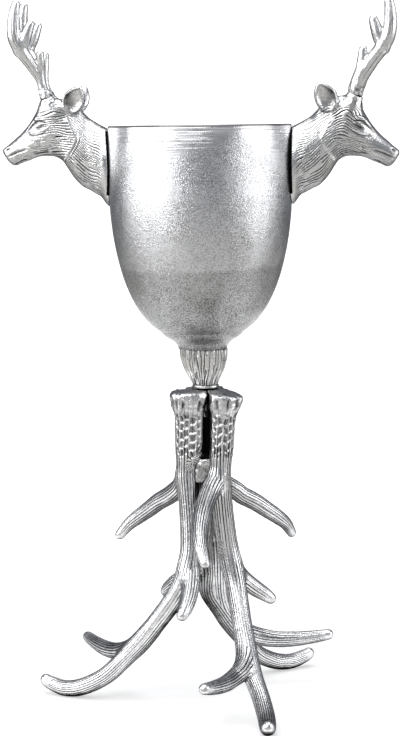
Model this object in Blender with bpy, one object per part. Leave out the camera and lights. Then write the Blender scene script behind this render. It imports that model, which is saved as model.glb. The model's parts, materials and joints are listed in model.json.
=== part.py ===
"""A footed wine cooler: a deep cup with two stag heads, on a tripod of three cast shed antlers.

Metres, +Z up. The object rests on Z = 0, and its box is centred on the Z axis. Inside the file all
pieces are drawn in millimetres about the cup's own axis, and one helper turns them into metres.
"""

from math import atan2, cos, pi, radians, sin

import bmesh
import bpy
from mathutils import Matrix, Vector

MM = 0.001

# Clearance between pieces that touch on the real object
SEAT_GAP = 0.3

# How far a cutter runs past a face that it opens, and the reach of a cutter that takes a whole side
THROUGH = 5.0
FAR = 400.0

# Cup: outer radius at the rim, its height from foot to rim, and the height of its straight wall
CUP_RADIUS = 103.5
CUP_HEIGHT = 253.2
CUP_STRAIGHT_HEIGHT = 72.0
CUP_WALL = 3.0
CUP_SIDES = 36
# The curve of the belly ends this far above the foot, and the flat floor lies a little higher
CUP_BELLY_RISE = 11.2
CUP_FLOOR_THICKNESS = 6.0
CUP_FLOOR_FILLET = 1.5
# Exponents of the curve from the straight wall down to the belly, and how many rings draw it
CUP_CURVE_DEPTH_POWER = 1.85
CUP_CURVE_RADIUS_POWER = 3.0
CUP_CURVE_STEPS = 9
# Outside of the flared foot, from above: how much wider than the foot, and how far above the stem
CUP_FLARE_RISE = 21.0
CUP_FLARE = ((15.5, 15.5), (6.0, 9.5), (1.4, 4.5))
CUP_FOOT_INSET = 0.2

# Stem, from the cup's foot down to the collar: share of the top radius, and share of the height
STEM_HEIGHT = 40.8
STEM_TOP_RADIUS = 27.6
STEM_FLUTES = 16
STEM_FLUTE_DEPTH = 0.9
STEM_SHAPE = ((1.0, 0.0), (0.985, 0.18), (0.93, 0.36), (0.83, 0.58), (0.71, 0.75), (0.575, 0.92), (0.53, 1.0))

# Collar between the stem and the three legs
COLLAR_RADIUS = 15.3
COLLAR_THICKNESS = 3.6

# Threaded rod that draws the cup, the stem and the legs together
ROD_RADIUS = 4.0
ROD_HOLE_CLEARANCE = 0.4
NUT_ACROSS_FLATS = 13.0
NUT_HEIGHT = 6.5
CAP_NUT_HEIGHT = 15.0
WASHER_RADIUS = 7.6
WASHER_THICKNESS = 1.6
BOWL_WASHER_RADIUS = 15.0
BOWL_SEAL_RADIUS = 16.5
BOWL_SEAL_THICKNESS = 2.0
BURR_CLAMP_THICKNESS = 17.0
NUT_POCKET_DEPTH = 25.0
NUT_POCKET_ROOM = 1.0

# Screws from the collar down into the legs
COLLAR_SCREW_RADIUS = 1.5
COLLAR_SCREW_HEAD_RADIUS = 2.7
COLLAR_SCREW_LENGTH = 14.0
COLLAR_SCREW_CIRCLE = 10.3
COLLAR_SCREW_HEAD_SHARE = 0.6

# Web block between the legs, this far below their tops, and its tongues and cross pins
WEB_DROP = 79.0
WEB_HEIGHT = 28.0
WEB_RADIUS = 17.5
WEB_EDGE = 1.5
WEB_ROOM = 0.36
TONGUE_THICKNESS = 6.0
TONGUE_REACH = 19.0
TONGUE_HEIGHT = 22.0
PIN_RADIUS = 2.0
PIN_LENGTH = 21.0
PIN_CIRCLE = 16.5

# Heads: screws from inside the cup, washers, and the gasket behind each neck. Drops are from the rim.
HEAD_SCREW_RADIUS = 2.5
HEAD_SCREW_HEAD_RADIUS = 4.4
HEAD_SCREW_HEAD_HEIGHT = 3.0
HEAD_SCREW_GRIP = 16.0
HEAD_SCREW_DROPS = (22.0, 60.0)
HEAD_WASHER_RADIUS = 5.8
HEAD_WASHER_THICKNESS = 1.0
GASKET_THICKNESS = 2.6
GASKET_TOP_DROP = 6.0
GASKET_BOTTOM_DROP = 78.0
GASKET_INSET = 4.0

# Head antlers: the peg under each burr and the socket in the head
PEG_RADIUS = 3.0
PEG_LENGTH = 9.0

# The heads lie on the X axis. The left head's ears and antlers are set nearer to the cup, and its
# antlers stand more upright.
SIDE_TURNS = {"right": 0.0, "left": pi}
EAR_SETBACKS = {"right": 0.0, "left": 2.5}
ANTLER_SETBACKS = {"right": 0.0, "left": 6.0}
ANTLER_LEANS = {"right": 0.0, "left": radians(-4.0)}

# The stand is turned about the cup's axis. Near their tops the legs keep to a third of the circle each.
LEG_NAMES = ("left", "front", "back")
LEG_TURN = radians(212.6)
LEG_STEP = radians(120.0)
BURR_SPLIT_DEPTH = 63.5

# One leg in its own frame: +X is outward at the burr. Each point is x, y, z and the radius there.
LEG_BEAM = (
    (22.9, 3.4, 364.8, 19.6),
    (22.9, 2.8, 361.0, 20.8),
    (22.8, 1.9, 355.5, 21.7),
    (22.7, 1.0, 349.5, 20.8),
    (22.5, 0.1, 342.0, 17.8),
    (22.3, -1.0, 333.0, 15.4),
    (22.2, -2.2, 315.8, 14.6),
    (21.8, -2.5, 292.0, 13.8),
    (21.6, -2.1, 269.5, 12.9),
    (21.7, 1.9, 235.4, 12.1),
    (23.4, 8.2, 190.2, 12.0),
    (26.8, 10.1, 167.5, 12.4),
    (35.5, 7.1, 138.7, 12.0),
    (45.6, -2.3, 115.8, 11.6),
    (56.1, -13.3, 95.9, 11.4),
    (70.1, -26.8, 71.8, 11.2),
    (88.3, -43.7, 46.2, 10.5),
    (104.9, -56.2, 27.0, 9.8),
    (123.6, -76.9, 12.8, 9.3),
    (137.0, -96.6, 7.7, 8.2),
    (148.4, -115.4, 11.0, 6.6),
    (152.4, -122.0, 13.3, 5.4),
)
LEG_BROW_TINE = (
    (21.4, -6.0, 262.0, 11.2),
    (20.6, -21.4, 247.9, 11.0),
    (24.5, -37.9, 236.5, 10.6),
    (31.0, -56.0, 226.0, 10.0),
    (37.0, -70.2, 215.5, 9.2),
    (43.9, -82.7, 205.7, 8.2),
    (52.2, -92.7, 195.8, 6.6),
    (61.0, -99.6, 184.4, 4.6),
)
LEG_SHORT_TINE = (
    (26.5, 12.0, 160.0, 10.5),
    (29.9, 20.4, 148.6, 10.2),
    (34.8, 27.2, 138.5, 9.8),
    (43.0, 37.0, 128.0, 8.6),
    (51.4, 45.1, 120.0, 7.0),
    (57.5, 49.5, 114.4, 5.2),
)
LEG_FORK_TINE = (
    (79.5, -38.0, 57.0, 9.6),
    (79.9, -56.6, 53.0, 9.6),
    (80.8, -76.5, 49.8, 9.2),
    (83.0, -96.2, 48.6, 8.6),
    (84.4, -119.8, 50.0, 7.2),
    (85.2, -143.2, 53.6, 5.2),
)
LEG_SIDES = 12
TINE_SIDES = 8
# Longest stretch between two rings of a leg, and of a head antler
LEG_RING_SPACING = 20.0
ANTLER_RING_SPACING = 12.0

# Stag head in its own frame: +X is outward from the cup's wall, and z is the height above the rim.
# Each station is x, then the height of its top and of its bottom, its half width, and how square its
# section is (1 is an ellipse).
HEAD_STATIONS = (
    (-7.5, -7.0, -96.0, 27.5, 1.0),
    (2.5, -2.0, -89.0, 27.5, 1.0),
    (9.5, 1.5, -80.0, 26.5, 1.0),
    (15.5, 5.0, -76.5, 25.8, 1.0),
    (22.5, 9.5, -72.5, 24.8, 1.0),
    (30.5, 17.5, -68.5, 23.8, 1.0),
    (37.5, 22.5, -62.0, 23.0, 1.0),
    (43.5, 25.5, -54.0, 22.6, 1.0),
    (48.5, 27.0, -46.0, 22.4, 1.0),
    (53.5, 28.0, -39.5, 22.4, 1.0),
    (61.5, 28.0, -35.5, 22.2, 0.95),
    (70.5, 26.0, -35.0, 21.4, 0.9),
    (77.5, 21.5, -35.4, 19.8, 0.9),
    (83.5, 11.5, -37.0, 17.6, 0.9),
    (90.5, 0.5, -40.0, 14.8, 0.85),
    (99.5, -10.0, -43.4, 12.6, 0.8),
    (107.5, -17.0, -46.4, 11.6, 0.8),
    (113.5, -22.4, -43.2, 10.6, 0.8),
    (118.0, -25.8, -37.0, 8.4, 0.8),
    (121.1, -28.4, -32.4, 4.0, 0.9),
)
HEAD_SIDES = 16

# Ear: centre and half sizes of the leaf, the hollow in its outer face, and how the ear leans back
# and is splayed out
EAR_CENTRE = (39.1, 19.5, 29.5)
EAR_SIZE = (12.8, 6.6, 19.0)
EAR_HOLLOW_OFFSET = (1.0, 6.6, 2.6)
EAR_HOLLOW_SIZE = (9.4, 5.2, 12.8)
EAR_LEAN = radians(-14.0)
EAR_SPLAY = radians(20.0)

# Pedicle on the skull, from its root to the seat of the antler
PEDICLE_ROOT = (68.0, 11.0, 14.0)
PEDICLE_SEAT = (72.0, 14.0, 32.0)
PEDICLE_RADIUS = 8.0

# One head antler in the head's frame, on the side of +Y. Each point is x, y, z and the radius there.
ANTLER_BEAM = (
    (72.1, 14.1, 32.4, 9.6),
    (72.7, 14.5, 36.4, 10.6),
    (73.9, 15.3, 40.5, 9.0),
    (78.7, 17.0, 52.5, 8.8),
    (85.3, 19.5, 62.0, 8.0),
    (93.9, 22.5, 73.2, 7.2),
    (103.3, 25.3, 85.2, 7.4),
    (109.1, 27.0, 96.0, 7.4),
    (111.3, 28.0, 108.0, 6.8),
    (111.3, 28.5, 123.0, 4.6),
    (109.8, 28.5, 134.6, 3.1),
)
ANTLER_LOWER_TINE = (
    (77.0, 17.0, 50.0, 6.0),
    (79.1, 18.2, 62.0, 5.6),
    (80.3, 19.2, 72.0, 4.6),
    (80.9, 20.3, 80.4, 3.0),
)
ANTLER_MIDDLE_TINE = (
    (104.5, 25.5, 83.0, 6.2),
    (98.7, 25.8, 94.0, 6.2),
    (95.5, 26.5, 104.0, 5.4),
    (92.7, 27.0, 111.0, 3.3),
)
ANTLER_SIDES = 8

# Heights that follow from the sizes above, from the flat tops of the legs up to the rim
LEG_TOP_TRIM = 1.3
LEG_TOP_Z = LEG_BEAM[0][2] - LEG_TOP_TRIM
WEB_TOP_Z = LEG_TOP_Z - WEB_DROP
WEB_MIDDLE_Z = WEB_TOP_Z - WEB_HEIGHT / 2
COLLAR_TOP_Z = LEG_TOP_Z + SEAT_GAP + COLLAR_THICKNESS
STEM_TOP_Z = COLLAR_TOP_Z + SEAT_GAP + STEM_HEIGHT
CUP_FOOT_Z = STEM_TOP_Z + SEAT_GAP
CUP_FLOOR_Z = CUP_FOOT_Z + CUP_BELLY_RISE + CUP_FLOOR_THICKNESS
CUP_RIM_Z = CUP_FOOT_Z + CUP_HEIGHT
CUP_STRAIGHT_Z = CUP_RIM_Z - CUP_STRAIGHT_HEIGHT
HEAD_SCREW_HEIGHTS = [CUP_RIM_Z - drop for drop in HEAD_SCREW_DROPS]
GASKET_TOP_Z = CUP_RIM_Z - GASKET_TOP_DROP
GASKET_BOTTOM_Z = CUP_RIM_Z - GASKET_BOTTOM_DROP

SILVER = ((0.78, 0.78, 0.76), 0.26, 1.0)
SILVER_GREY = ((0.70, 0.70, 0.67), 0.32, 1.0)
STEEL = ((0.58, 0.58, 0.60), 0.30, 1.0)
RUBBER = ((0.02, 0.02, 0.02), 0.70, 0.0)


def clear_scene():
    for item in list(bpy.data.objects):
        bpy.data.objects.remove(item, do_unlink=True)


def material(name, look):
    colour, roughness, metallic = look
    made = bpy.data.materials.new(name)
    made.use_nodes = True
    shader = made.node_tree.nodes["Principled BSDF"]
    shader.inputs["Base Color"].default_value = (*colour, 1.0)
    shader.inputs["Roughness"].default_value = roughness
    shader.inputs["Metallic"].default_value = metallic
    made.diffuse_color = (*colour, 1.0)
    return made


def new_object(name, bm):
    """An object from a mesh drawn in millimetres, which is then closed, faced outwards and in metres."""
    bmesh.ops.recalc_face_normals(bm, faces=bm.faces)
    if bm.calc_volume(signed=True) < 0:
        bmesh.ops.reverse_faces(bm, faces=bm.faces)
    bmesh.ops.scale(bm, vec=(MM, MM, MM), verts=bm.verts)
    mesh = bpy.data.meshes.new(name)
    bm.to_mesh(mesh)
    bm.free()
    made = bpy.data.objects.new(name, mesh)
    bpy.context.scene.collection.objects.link(made)
    return made


def add_rings(bm, rings, close_start=True, close_end=True):
    """Joins rings of points into a tube. A ring of one point is a pole, and other ends get a cap."""
    made = [[bm.verts.new(point) for point in ring] for ring in rings]
    for first, second in zip(made, made[1:]):
        count = max(len(first), len(second))
        for i in range(count):
            j = (i + 1) % count
            if len(first) == 1:
                bm.faces.new((first[0], second[j], second[i]))
            elif len(second) == 1:
                bm.faces.new((first[i], first[j], second[0]))
            else:
                bm.faces.new((first[i], first[j], second[j], second[i]))
    if close_start and len(made[0]) > 1:
        bm.faces.new(made[0][::-1])
    if close_end and len(made[-1]) > 1:
        bm.faces.new(made[-1])


def turned(name, profile, sides, turn=0.0, wave=None):
    """A turned solid from a list of (radius, height), top to bottom. wave(angle) scales the radius."""
    rings = []
    for radius, height in profile:
        if radius == 0:
            rings.append([Vector((0, 0, height))])
            continue
        ring = []
        for i in range(sides):
            angle = turn + 2 * pi * i / sides
            reach = radius + (wave(angle) if wave else 0.0)
            ring.append(Vector((reach * cos(angle), reach * sin(angle), height)))
        rings.append(ring)
    bm = bmesh.new()
    add_rings(bm, rings)
    return new_object(name, bm)


def between(a, b, c, d, t):
    """A point of the smooth curve through a, b, c and d, at share t of the stretch from b to c."""
    return 0.5 * (
        2 * b + (c - a) * t + (2 * a - 5 * b + 4 * c - d) * t * t + (3 * b - a - 3 * c + d) * t**3
    )


def smooth_route(points, spacing):
    """Fills in a route of (x, y, z, radius) so that it bends smoothly, with a ring each spacing."""
    knots = [Vector(point) for point in points]
    filled = []
    for i in range(len(knots) - 1):
        a = knots[max(i - 1, 0)]
        d = knots[min(i + 2, len(knots) - 1)]
        steps = max(1, round((knots[i + 1] - knots[i]).length / spacing))
        for step in range(steps):
            filled.append(between(a, knots[i], knots[i + 1], d, step / steps))
    filled.append(knots[-1])
    return filled


def swept(name, points, sides, spacing=LEG_RING_SPACING, extra=0.0):
    """A round solid along a route, with a blunt start and a rounded tip. extra widens it all along."""
    route = smooth_route(points, spacing)
    centres = [point.to_3d() for point in route]
    radii = [point[3] + extra for point in route]
    tip_way = (centres[-1] - centres[-2]).normalized()
    tip_radius = radii[-1]
    for reach, share in ((0.5, 0.86), (0.85, 0.5)):
        centres.append(route[-1].to_3d() + tip_way * tip_radius * reach)
        radii.append(tip_radius * share)
    rings = []
    side = Vector((0, 1, 0))
    for i, centre in enumerate(centres):
        way = (centres[min(i + 1, len(centres) - 1)] - centres[max(i - 1, 0)]).normalized()
        side = (side - way * side.dot(way)).normalized()
        across = way.cross(side)
        ring = []
        for k in range(sides):
            angle = 2 * pi * k / sides
            ring.append(centre + radii[i] * (cos(angle) * side + sin(angle) * across))
        rings.append(ring)
    rings.append([route[-1].to_3d() + tip_way * tip_radius])
    bm = bmesh.new()
    add_rings(bm, rings)
    return new_object(name, bm)


def rod_between(name, start, end, radius, sides=12):
    """A plain round bar from one point to another."""
    start, end = Vector(start), Vector(end)
    way = (end - start).normalized()
    side = way.orthogonal().normalized()
    across = way.cross(side)
    rings = []
    for centre in (start, end):
        ring = []
        for k in range(sides):
            angle = 2 * pi * k / sides
            ring.append(centre + radius * (cos(angle) * side + sin(angle) * across))
        rings.append(ring)
    bm = bmesh.new()
    add_rings(bm, rings)
    return new_object(name, bm)


def block(name, low, high, turn=0.0):
    """A square block from its lowest to its highest corner, turned about the Z axis."""
    bm = bmesh.new()
    bmesh.ops.create_cube(bm, size=1.0)
    low, high = Vector(low), Vector(high)
    bmesh.ops.scale(bm, vec=high - low, verts=bm.verts)
    bmesh.ops.translate(bm, vec=(high + low) / 2, verts=bm.verts)
    bmesh.ops.rotate(bm, cent=(0, 0, 0), matrix=Matrix.Rotation(turn, 3, "Z"), verts=bm.verts)
    return new_object(name, bm)


def ball(name, half_sizes, place):
    """An egg-shaped solid, put in its place by a matrix."""
    bm = bmesh.new()
    bmesh.ops.create_uvsphere(bm, u_segments=10, v_segments=7, radius=1.0)
    bmesh.ops.scale(bm, vec=half_sizes, verts=bm.verts)
    bmesh.ops.transform(bm, matrix=place, verts=bm.verts)
    return new_object(name, bm)


def combine(target, joined=(), within=(), cut=()):
    """Joins solids to the target, keeps what lies within others, and then cuts others from it."""
    steps = [(o, "UNION") for o in joined]
    steps += [(o, "INTERSECT") for o in within]
    steps += [(o, "DIFFERENCE") for o in cut]
    for other, operation in steps:
        step = target.modifiers.new(other.name, "BOOLEAN")
        step.operation = operation
        step.solver = "EXACT"
        step.object = other
    bpy.context.view_layer.update()
    graph = bpy.context.evaluated_depsgraph_get()
    result = bpy.data.meshes.new_from_object(target.evaluated_get(graph))
    target.modifiers.clear()
    target.data = result
    for other in [*joined, *within, *cut]:
        bpy.data.objects.remove(other, do_unlink=True)
    return target


def finish(piece, look, name=None, turn=0.0):
    """Gives the piece its material, shading and place about the cup's axis."""
    if name:
        piece.name = name
        piece.data.name = name
    piece.data.materials.clear()
    piece.data.materials.append(look)
    piece.data.shade_smooth()
    piece.data.set_sharp_from_angle(angle=radians(35))
    piece.rotation_euler[2] = turn
    return piece


def copy_of(piece, name, turn):
    """The same casting or fastener once more, at another turn about the cup's axis."""
    made = bpy.data.objects.new(name, piece.data)
    bpy.context.scene.collection.objects.link(made)
    made.rotation_euler[2] = turn
    return made


def mirrored(piece, name):
    """The piece mirrored from side to side, with its faces turned outwards again."""
    bm = bmesh.new()
    bm.from_mesh(piece.data)
    bmesh.ops.scale(bm, vec=(1 / MM, -1 / MM, 1 / MM), verts=bm.verts)
    bmesh.ops.reverse_faces(bm, faces=bm.faces)
    return new_object(name, bm)


def cup_radius_at(height, inset=0.0):
    """Outer radius of the cup below its straight wall. inset gives the inner surface."""
    depth = CUP_STRAIGHT_Z - CUP_FOOT_Z - CUP_BELLY_RISE
    drop = (CUP_STRAIGHT_Z - height) / (depth - inset)
    share = max(0.0, 1.0 - max(drop, 0.0) ** CUP_CURVE_DEPTH_POWER)
    return (CUP_RADIUS - inset) * share ** (1.0 / CUP_CURVE_RADIUS_POWER)


def hex_prism(name, across_flats, low, high):
    corner = across_flats / (2 * cos(pi / 6))
    return turned(name, [(corner, high), (corner, low)], 6)


def screw(name, radius, head_radius, head_height, length, sides=12, taper=False):
    """A screw along -Z with its head's top at zero and a round socket in the head."""
    socket = head_radius * 0.5
    shoulder = radius if taper else head_radius
    profile = [
        (0, -head_height * 0.6),
        (socket, -head_height * 0.6),
        (socket, 0),
        (head_radius, 0),
        (shoulder, -head_height),
    ]
    if not taper:
        profile.append((radius, -head_height))
    profile += [(radius, -length + radius), (radius * 0.6, -length), (0, -length)]
    return turned(name, profile, sides)


def laid(piece, matrix):
    """Turns and moves a piece's mesh by a matrix whose move is in millimetres."""
    place = matrix.copy()
    place.translation *= MM
    piece.data.transform(place)
    return piece


def curve_heights(low):
    """Heights of the rings that draw the belly, from the straight wall down to low."""
    shares = [sin(i / CUP_CURVE_STEPS * pi / 2) for i in range(CUP_CURVE_STEPS + 1)]
    return [CUP_STRAIGHT_Z + (low - CUP_STRAIGHT_Z) * share for share in shares]


def make_cup(look):
    lip = CUP_WALL / 3
    inner_radius = CUP_RADIUS - CUP_WALL
    outer = [(CUP_RADIUS - lip, CUP_RIM_Z), (CUP_RADIUS, CUP_RIM_Z - lip)]
    outer += [(cup_radius_at(height), height) for height in curve_heights(STEM_TOP_Z + CUP_FLARE_RISE)]
    foot = STEM_TOP_RADIUS - CUP_FOOT_INSET
    outer += [(foot + wider, STEM_TOP_Z + rise) for wider, rise in CUP_FLARE]
    outer += [(foot, CUP_FOOT_Z), (0, CUP_FOOT_Z)]
    inner = [(inner_radius + lip, CUP_RIM_Z), (inner_radius, CUP_RIM_Z - lip)]
    for height in curve_heights(CUP_FLOOR_Z + CUP_FLOOR_FILLET):
        inner.append((cup_radius_at(height, CUP_WALL), height))
    inner += [(BOWL_SEAL_RADIUS + CUP_FLOOR_FILLET, CUP_FLOOR_Z), (0, CUP_FLOOR_Z)]
    # The outline runs from the floor's centre up the inside, over the rim and down the outside
    cup = turned("bowl", [*inner[::-1], *outer], CUP_SIDES, turn=pi / CUP_SIDES)
    bore_ends = ((0, 0, CUP_FOOT_Z - THROUGH), (0, 0, CUP_FLOOR_Z + THROUGH))
    cuts = [rod_between("rod_hole", *bore_ends, ROD_RADIUS + ROD_HOLE_CLEARANCE)]
    for side_turn in SIDE_TURNS.values():
        for height in HEAD_SCREW_HEIGHTS:
            start = ((inner_radius - THROUGH) * cos(side_turn), 0, height)
            end = ((CUP_RADIUS + THROUGH) * cos(side_turn), 0, height)
            cuts.append(rod_between("screw_hole", start, end, HEAD_SCREW_RADIUS + SEAT_GAP))
    return finish(combine(cup, cut=cuts), look)


def make_stem(look):
    bottom = COLLAR_TOP_Z + SEAT_GAP
    profile = [(STEM_TOP_RADIUS * share, STEM_TOP_Z - STEM_HEIGHT * drop) for share, drop in STEM_SHAPE]

    def flute(angle):
        return -STEM_FLUTE_DEPTH * (0.5 - 0.5 * cos(STEM_FLUTES * angle))

    stem = turned("stem", [(0, STEM_TOP_Z), *profile, (0, bottom)], STEM_FLUTES * 3, wave=flute)
    hole = ROD_RADIUS + ROD_HOLE_CLEARANCE
    bore = rod_between("bore", (0, 0, bottom - THROUGH), (0, 0, STEM_TOP_Z + THROUGH), hole)
    return finish(combine(stem, cut=[bore]), look)


def make_collar(look):
    top = COLLAR_TOP_Z
    bottom = LEG_TOP_Z + SEAT_GAP
    edge = COLLAR_THICKNESS / 3
    profile = [(0, top), (COLLAR_RADIUS - edge, top), (COLLAR_RADIUS, top - edge)]
    profile += [(COLLAR_RADIUS, bottom + edge), (COLLAR_RADIUS - edge, bottom), (0, bottom)]
    collar = turned("stem_collar", profile, 24)
    hole = ROD_RADIUS + ROD_HOLE_CLEARANCE
    cuts = [rod_between("bore", (0, 0, bottom - THROUGH), (0, 0, top + THROUGH), hole)]
    head_room = COLLAR_SCREW_HEAD_RADIUS + SEAT_GAP
    shank_room = COLLAR_SCREW_RADIUS + SEAT_GAP
    cone_low = -COLLAR_THICKNESS * COLLAR_SCREW_HEAD_SHARE
    for i in range(len(LEG_NAMES)):
        angle = LEG_TURN + LEG_STEP * i
        x = COLLAR_SCREW_CIRCLE * cos(angle)
        y = COLLAR_SCREW_CIRCLE * sin(angle)
        outline = [(0, THROUGH), (head_room, THROUGH), (head_room, 0.0), (shank_room, cone_low)]
        outline += [(shank_room, -COLLAR_THICKNESS - THROUGH), (0, -COLLAR_THICKNESS - THROUGH)]
        seat = turned("seat", outline, 12)
        cuts.append(laid(seat, Matrix.Translation((x, y, top))))
    return finish(combine(collar, cut=cuts), look)


def make_rod_set(steel, rubber):
    """The rod, and what lies on it from the cup's floor down to the underside of the burrs."""
    hole = ROD_RADIUS + ROD_HOLE_CLEARANCE
    seal_top = CUP_FLOOR_Z + SEAT_GAP + BOWL_SEAL_THICKNESS
    washer_top = seal_top + SEAT_GAP + WASHER_THICKNESS
    nut_low = washer_top + SEAT_GAP
    clamp_z = LEG_TOP_Z - BURR_CLAMP_THICKNESS
    hub_washer_top = clamp_z - SEAT_GAP
    hub_nut_top = hub_washer_top - WASHER_THICKNESS - SEAT_GAP
    rod_low = hub_nut_top - NUT_HEIGHT - 2 * ROD_RADIUS
    rod_high = nut_low + CAP_NUT_HEIGHT * 0.6

    chamfer = ROD_RADIUS * 0.25
    rod_outline = [(0, rod_high), (ROD_RADIUS - chamfer, rod_high), (ROD_RADIUS, rod_high - chamfer)]
    rod_outline += [(ROD_RADIUS, rod_low + chamfer), (ROD_RADIUS - chamfer, rod_low), (0, rod_low)]
    finish(turned("centre_rod", rod_outline, 16), steel)

    for name, radius, low, high, look in (
        ("bowl_seal", BOWL_SEAL_RADIUS, CUP_FLOOR_Z + SEAT_GAP, seal_top, rubber),
        ("bowl_washer", BOWL_WASHER_RADIUS, seal_top + SEAT_GAP, washer_top, steel),
        ("hub_washer", WASHER_RADIUS, hub_washer_top - WASHER_THICKNESS, hub_washer_top, steel),
    ):
        disc = turned(name, [(0, high), (radius, high), (radius, low), (0, low)], 24)
        bore = rod_between("bore", (0, 0, low - THROUGH), (0, 0, high + THROUGH), hole, 16)
        finish(combine(disc, cut=[bore]), look)

    hub_nut = hex_prism("hub_nut", NUT_ACROSS_FLATS, hub_nut_top - NUT_HEIGHT, hub_nut_top)
    thread = ROD_RADIUS + SEAT_GAP
    bore_low = (0, 0, hub_nut_top - NUT_HEIGHT - THROUGH)
    bore = rod_between("bore", bore_low, (0, 0, hub_nut_top + THROUGH), thread, 16)
    finish(combine(hub_nut, cut=[bore]), steel)

    cap = hex_prism("bowl_nut", NUT_ACROSS_FLATS, nut_low, nut_low + NUT_HEIGHT)
    dome_radius = NUT_ACROSS_FLATS * 0.46
    dome_high = nut_low + CAP_NUT_HEIGHT
    dome_steps = 4
    dome = [(0, dome_high)]
    for i in range(1, dome_steps + 1):
        angle = pi / 2 * i / dome_steps
        dome.append((dome_radius * sin(angle), dome_high - dome_radius * (1 - cos(angle))))
    dome += [(dome_radius, nut_low + NUT_HEIGHT / 2), (0, nut_low + NUT_HEIGHT / 2)]
    bore = rod_between("bore", (0, 0, nut_low - THROUGH), (0, 0, rod_high + SEAT_GAP), thread, 16)
    finish(combine(cap, joined=[turned("dome", dome, 16)], cut=[bore]), steel)


def leg_centre_at(height):
    """Where the leg's beam passes a height, in the leg's own frame: x, y and radius."""
    for upper, lower in zip(LEG_BEAM, LEG_BEAM[1:]):
        if lower[2] <= height <= upper[2]:
            share = (upper[2] - height) / (upper[2] - lower[2])
            return [u + (l - u) * share for u, l in zip(upper, lower)]
    return list(LEG_BEAM[0])


def tongue_turn():
    """Turn of a tongue from the leg's own +X, so that it runs into the middle of the beam."""
    x, y, _, _ = leg_centre_at(WEB_MIDDLE_Z)
    return atan2(y, x)


def pin_ends(turn, reach):
    """Two points on the line of a cross pin, reach to each side of the tongue that points to turn."""
    way = Vector((-sin(turn), cos(turn), 0)) * reach
    middle = Vector((PIN_CIRCLE * cos(turn), PIN_CIRCLE * sin(turn), WEB_MIDDLE_Z))
    return middle - way, middle + way


def make_leg(look):
    leg = swept("leg", LEG_BEAM, LEG_SIDES)
    tines = [
        swept("brow_tine", LEG_BROW_TINE, TINE_SIDES),
        swept("short_tine", LEG_SHORT_TINE, TINE_SIDES),
        swept("fork_tine", LEG_FORK_TINE, TINE_SIDES),
    ]
    clamp_z = LEG_TOP_Z - BURR_CLAMP_THICKNESS
    above = LEG_TOP_Z + THROUGH
    pocket = NUT_ACROSS_FLATS / 2 / cos(pi / 6) + NUT_POCKET_ROOM
    slot_half_height = TONGUE_HEIGHT / 2 + SEAT_GAP
    slot_half_width = TONGUE_THICKNESS / 2 + SEAT_GAP
    turn = tongue_turn()
    rod_room = ROD_RADIUS + ROD_HOLE_CLEARANCE
    screw_low = (COLLAR_SCREW_CIRCLE, 0, LEG_TOP_Z - COLLAR_SCREW_LENGTH)
    screw_high = (COLLAR_SCREW_CIRCLE, 0, above)
    cuts = [
        block("top_plane", (-FAR, -FAR, LEG_TOP_Z), (FAR, FAR, LEG_TOP_Z + FAR)),
        block("floor_plane", (-FAR, -FAR, -FAR), (FAR, FAR, 0.0)),
        rod_between("rod_hole", (0, 0, clamp_z - THROUGH), (0, 0, above), rod_room),
        rod_between("nut_pocket", (0, 0, clamp_z - NUT_POCKET_DEPTH), (0, 0, clamp_z), pocket, 18),
        rod_between("screw_hole", screw_low, screw_high, COLLAR_SCREW_RADIUS + SEAT_GAP),
        block(
            "tongue_slot",
            (-1.0, -slot_half_width, WEB_MIDDLE_Z - slot_half_height),
            (TONGUE_REACH + SEAT_GAP, slot_half_width, WEB_MIDDLE_Z + slot_half_height),
            turn,
        ),
    ]
    ends = pin_ends(turn, PIN_LENGTH)
    cuts.append(rod_between("pin_hole", *ends, PIN_RADIUS + SEAT_GAP))
    # Each leg keeps to its own third of the circle, so neighbouring burrs meet on flat faces
    for side in (1, -1):
        low_y, high_y = sorted((-side * SEAT_GAP / 2, side * FAR))
        low_corner = (-FAR, low_y, LEG_TOP_Z - BURR_SPLIT_DEPTH)
        cuts.append(block("third", low_corner, (FAR, high_y, above), radians(60) * side))
    return finish(combine(leg, joined=tines, cut=cuts), look, "leg_left", LEG_TURN)


def make_web(look):
    low = WEB_TOP_Z - WEB_HEIGHT
    narrow = WEB_RADIUS - WEB_EDGE
    profile = [(0, WEB_TOP_Z), (narrow, WEB_TOP_Z), (WEB_RADIUS, WEB_TOP_Z - WEB_EDGE)]
    profile += [(WEB_RADIUS, low + WEB_EDGE), (narrow, low), (0, low)]
    web = turned("web_block", profile, 30)
    rooms = []
    tongues = []
    pin_holes = []
    for i in range(len(LEG_NAMES)):
        turn = LEG_TURN + LEG_STEP * i
        for route, sides in ((LEG_BEAM, LEG_SIDES), (LEG_BROW_TINE, TINE_SIDES)):
            room = swept("leg_room", route, sides, extra=WEB_ROOM)
            room.data.transform(Matrix.Rotation(turn, 4, "Z"))
            rooms.append(room)
        at = turn + tongue_turn()
        low_corner = (0.0, -TONGUE_THICKNESS / 2, WEB_MIDDLE_Z - TONGUE_HEIGHT / 2)
        high_corner = (TONGUE_REACH, TONGUE_THICKNESS / 2, WEB_MIDDLE_Z + TONGUE_HEIGHT / 2)
        tongues.append(block("tongue", low_corner, high_corner, at))
        ends = pin_ends(at, TONGUE_THICKNESS)
        pin_holes.append(rod_between("pin_hole", *ends, PIN_RADIUS + SEAT_GAP))
    web = combine(web, cut=rooms)
    return finish(combine(web, joined=tongues, cut=pin_holes), look)


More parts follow.
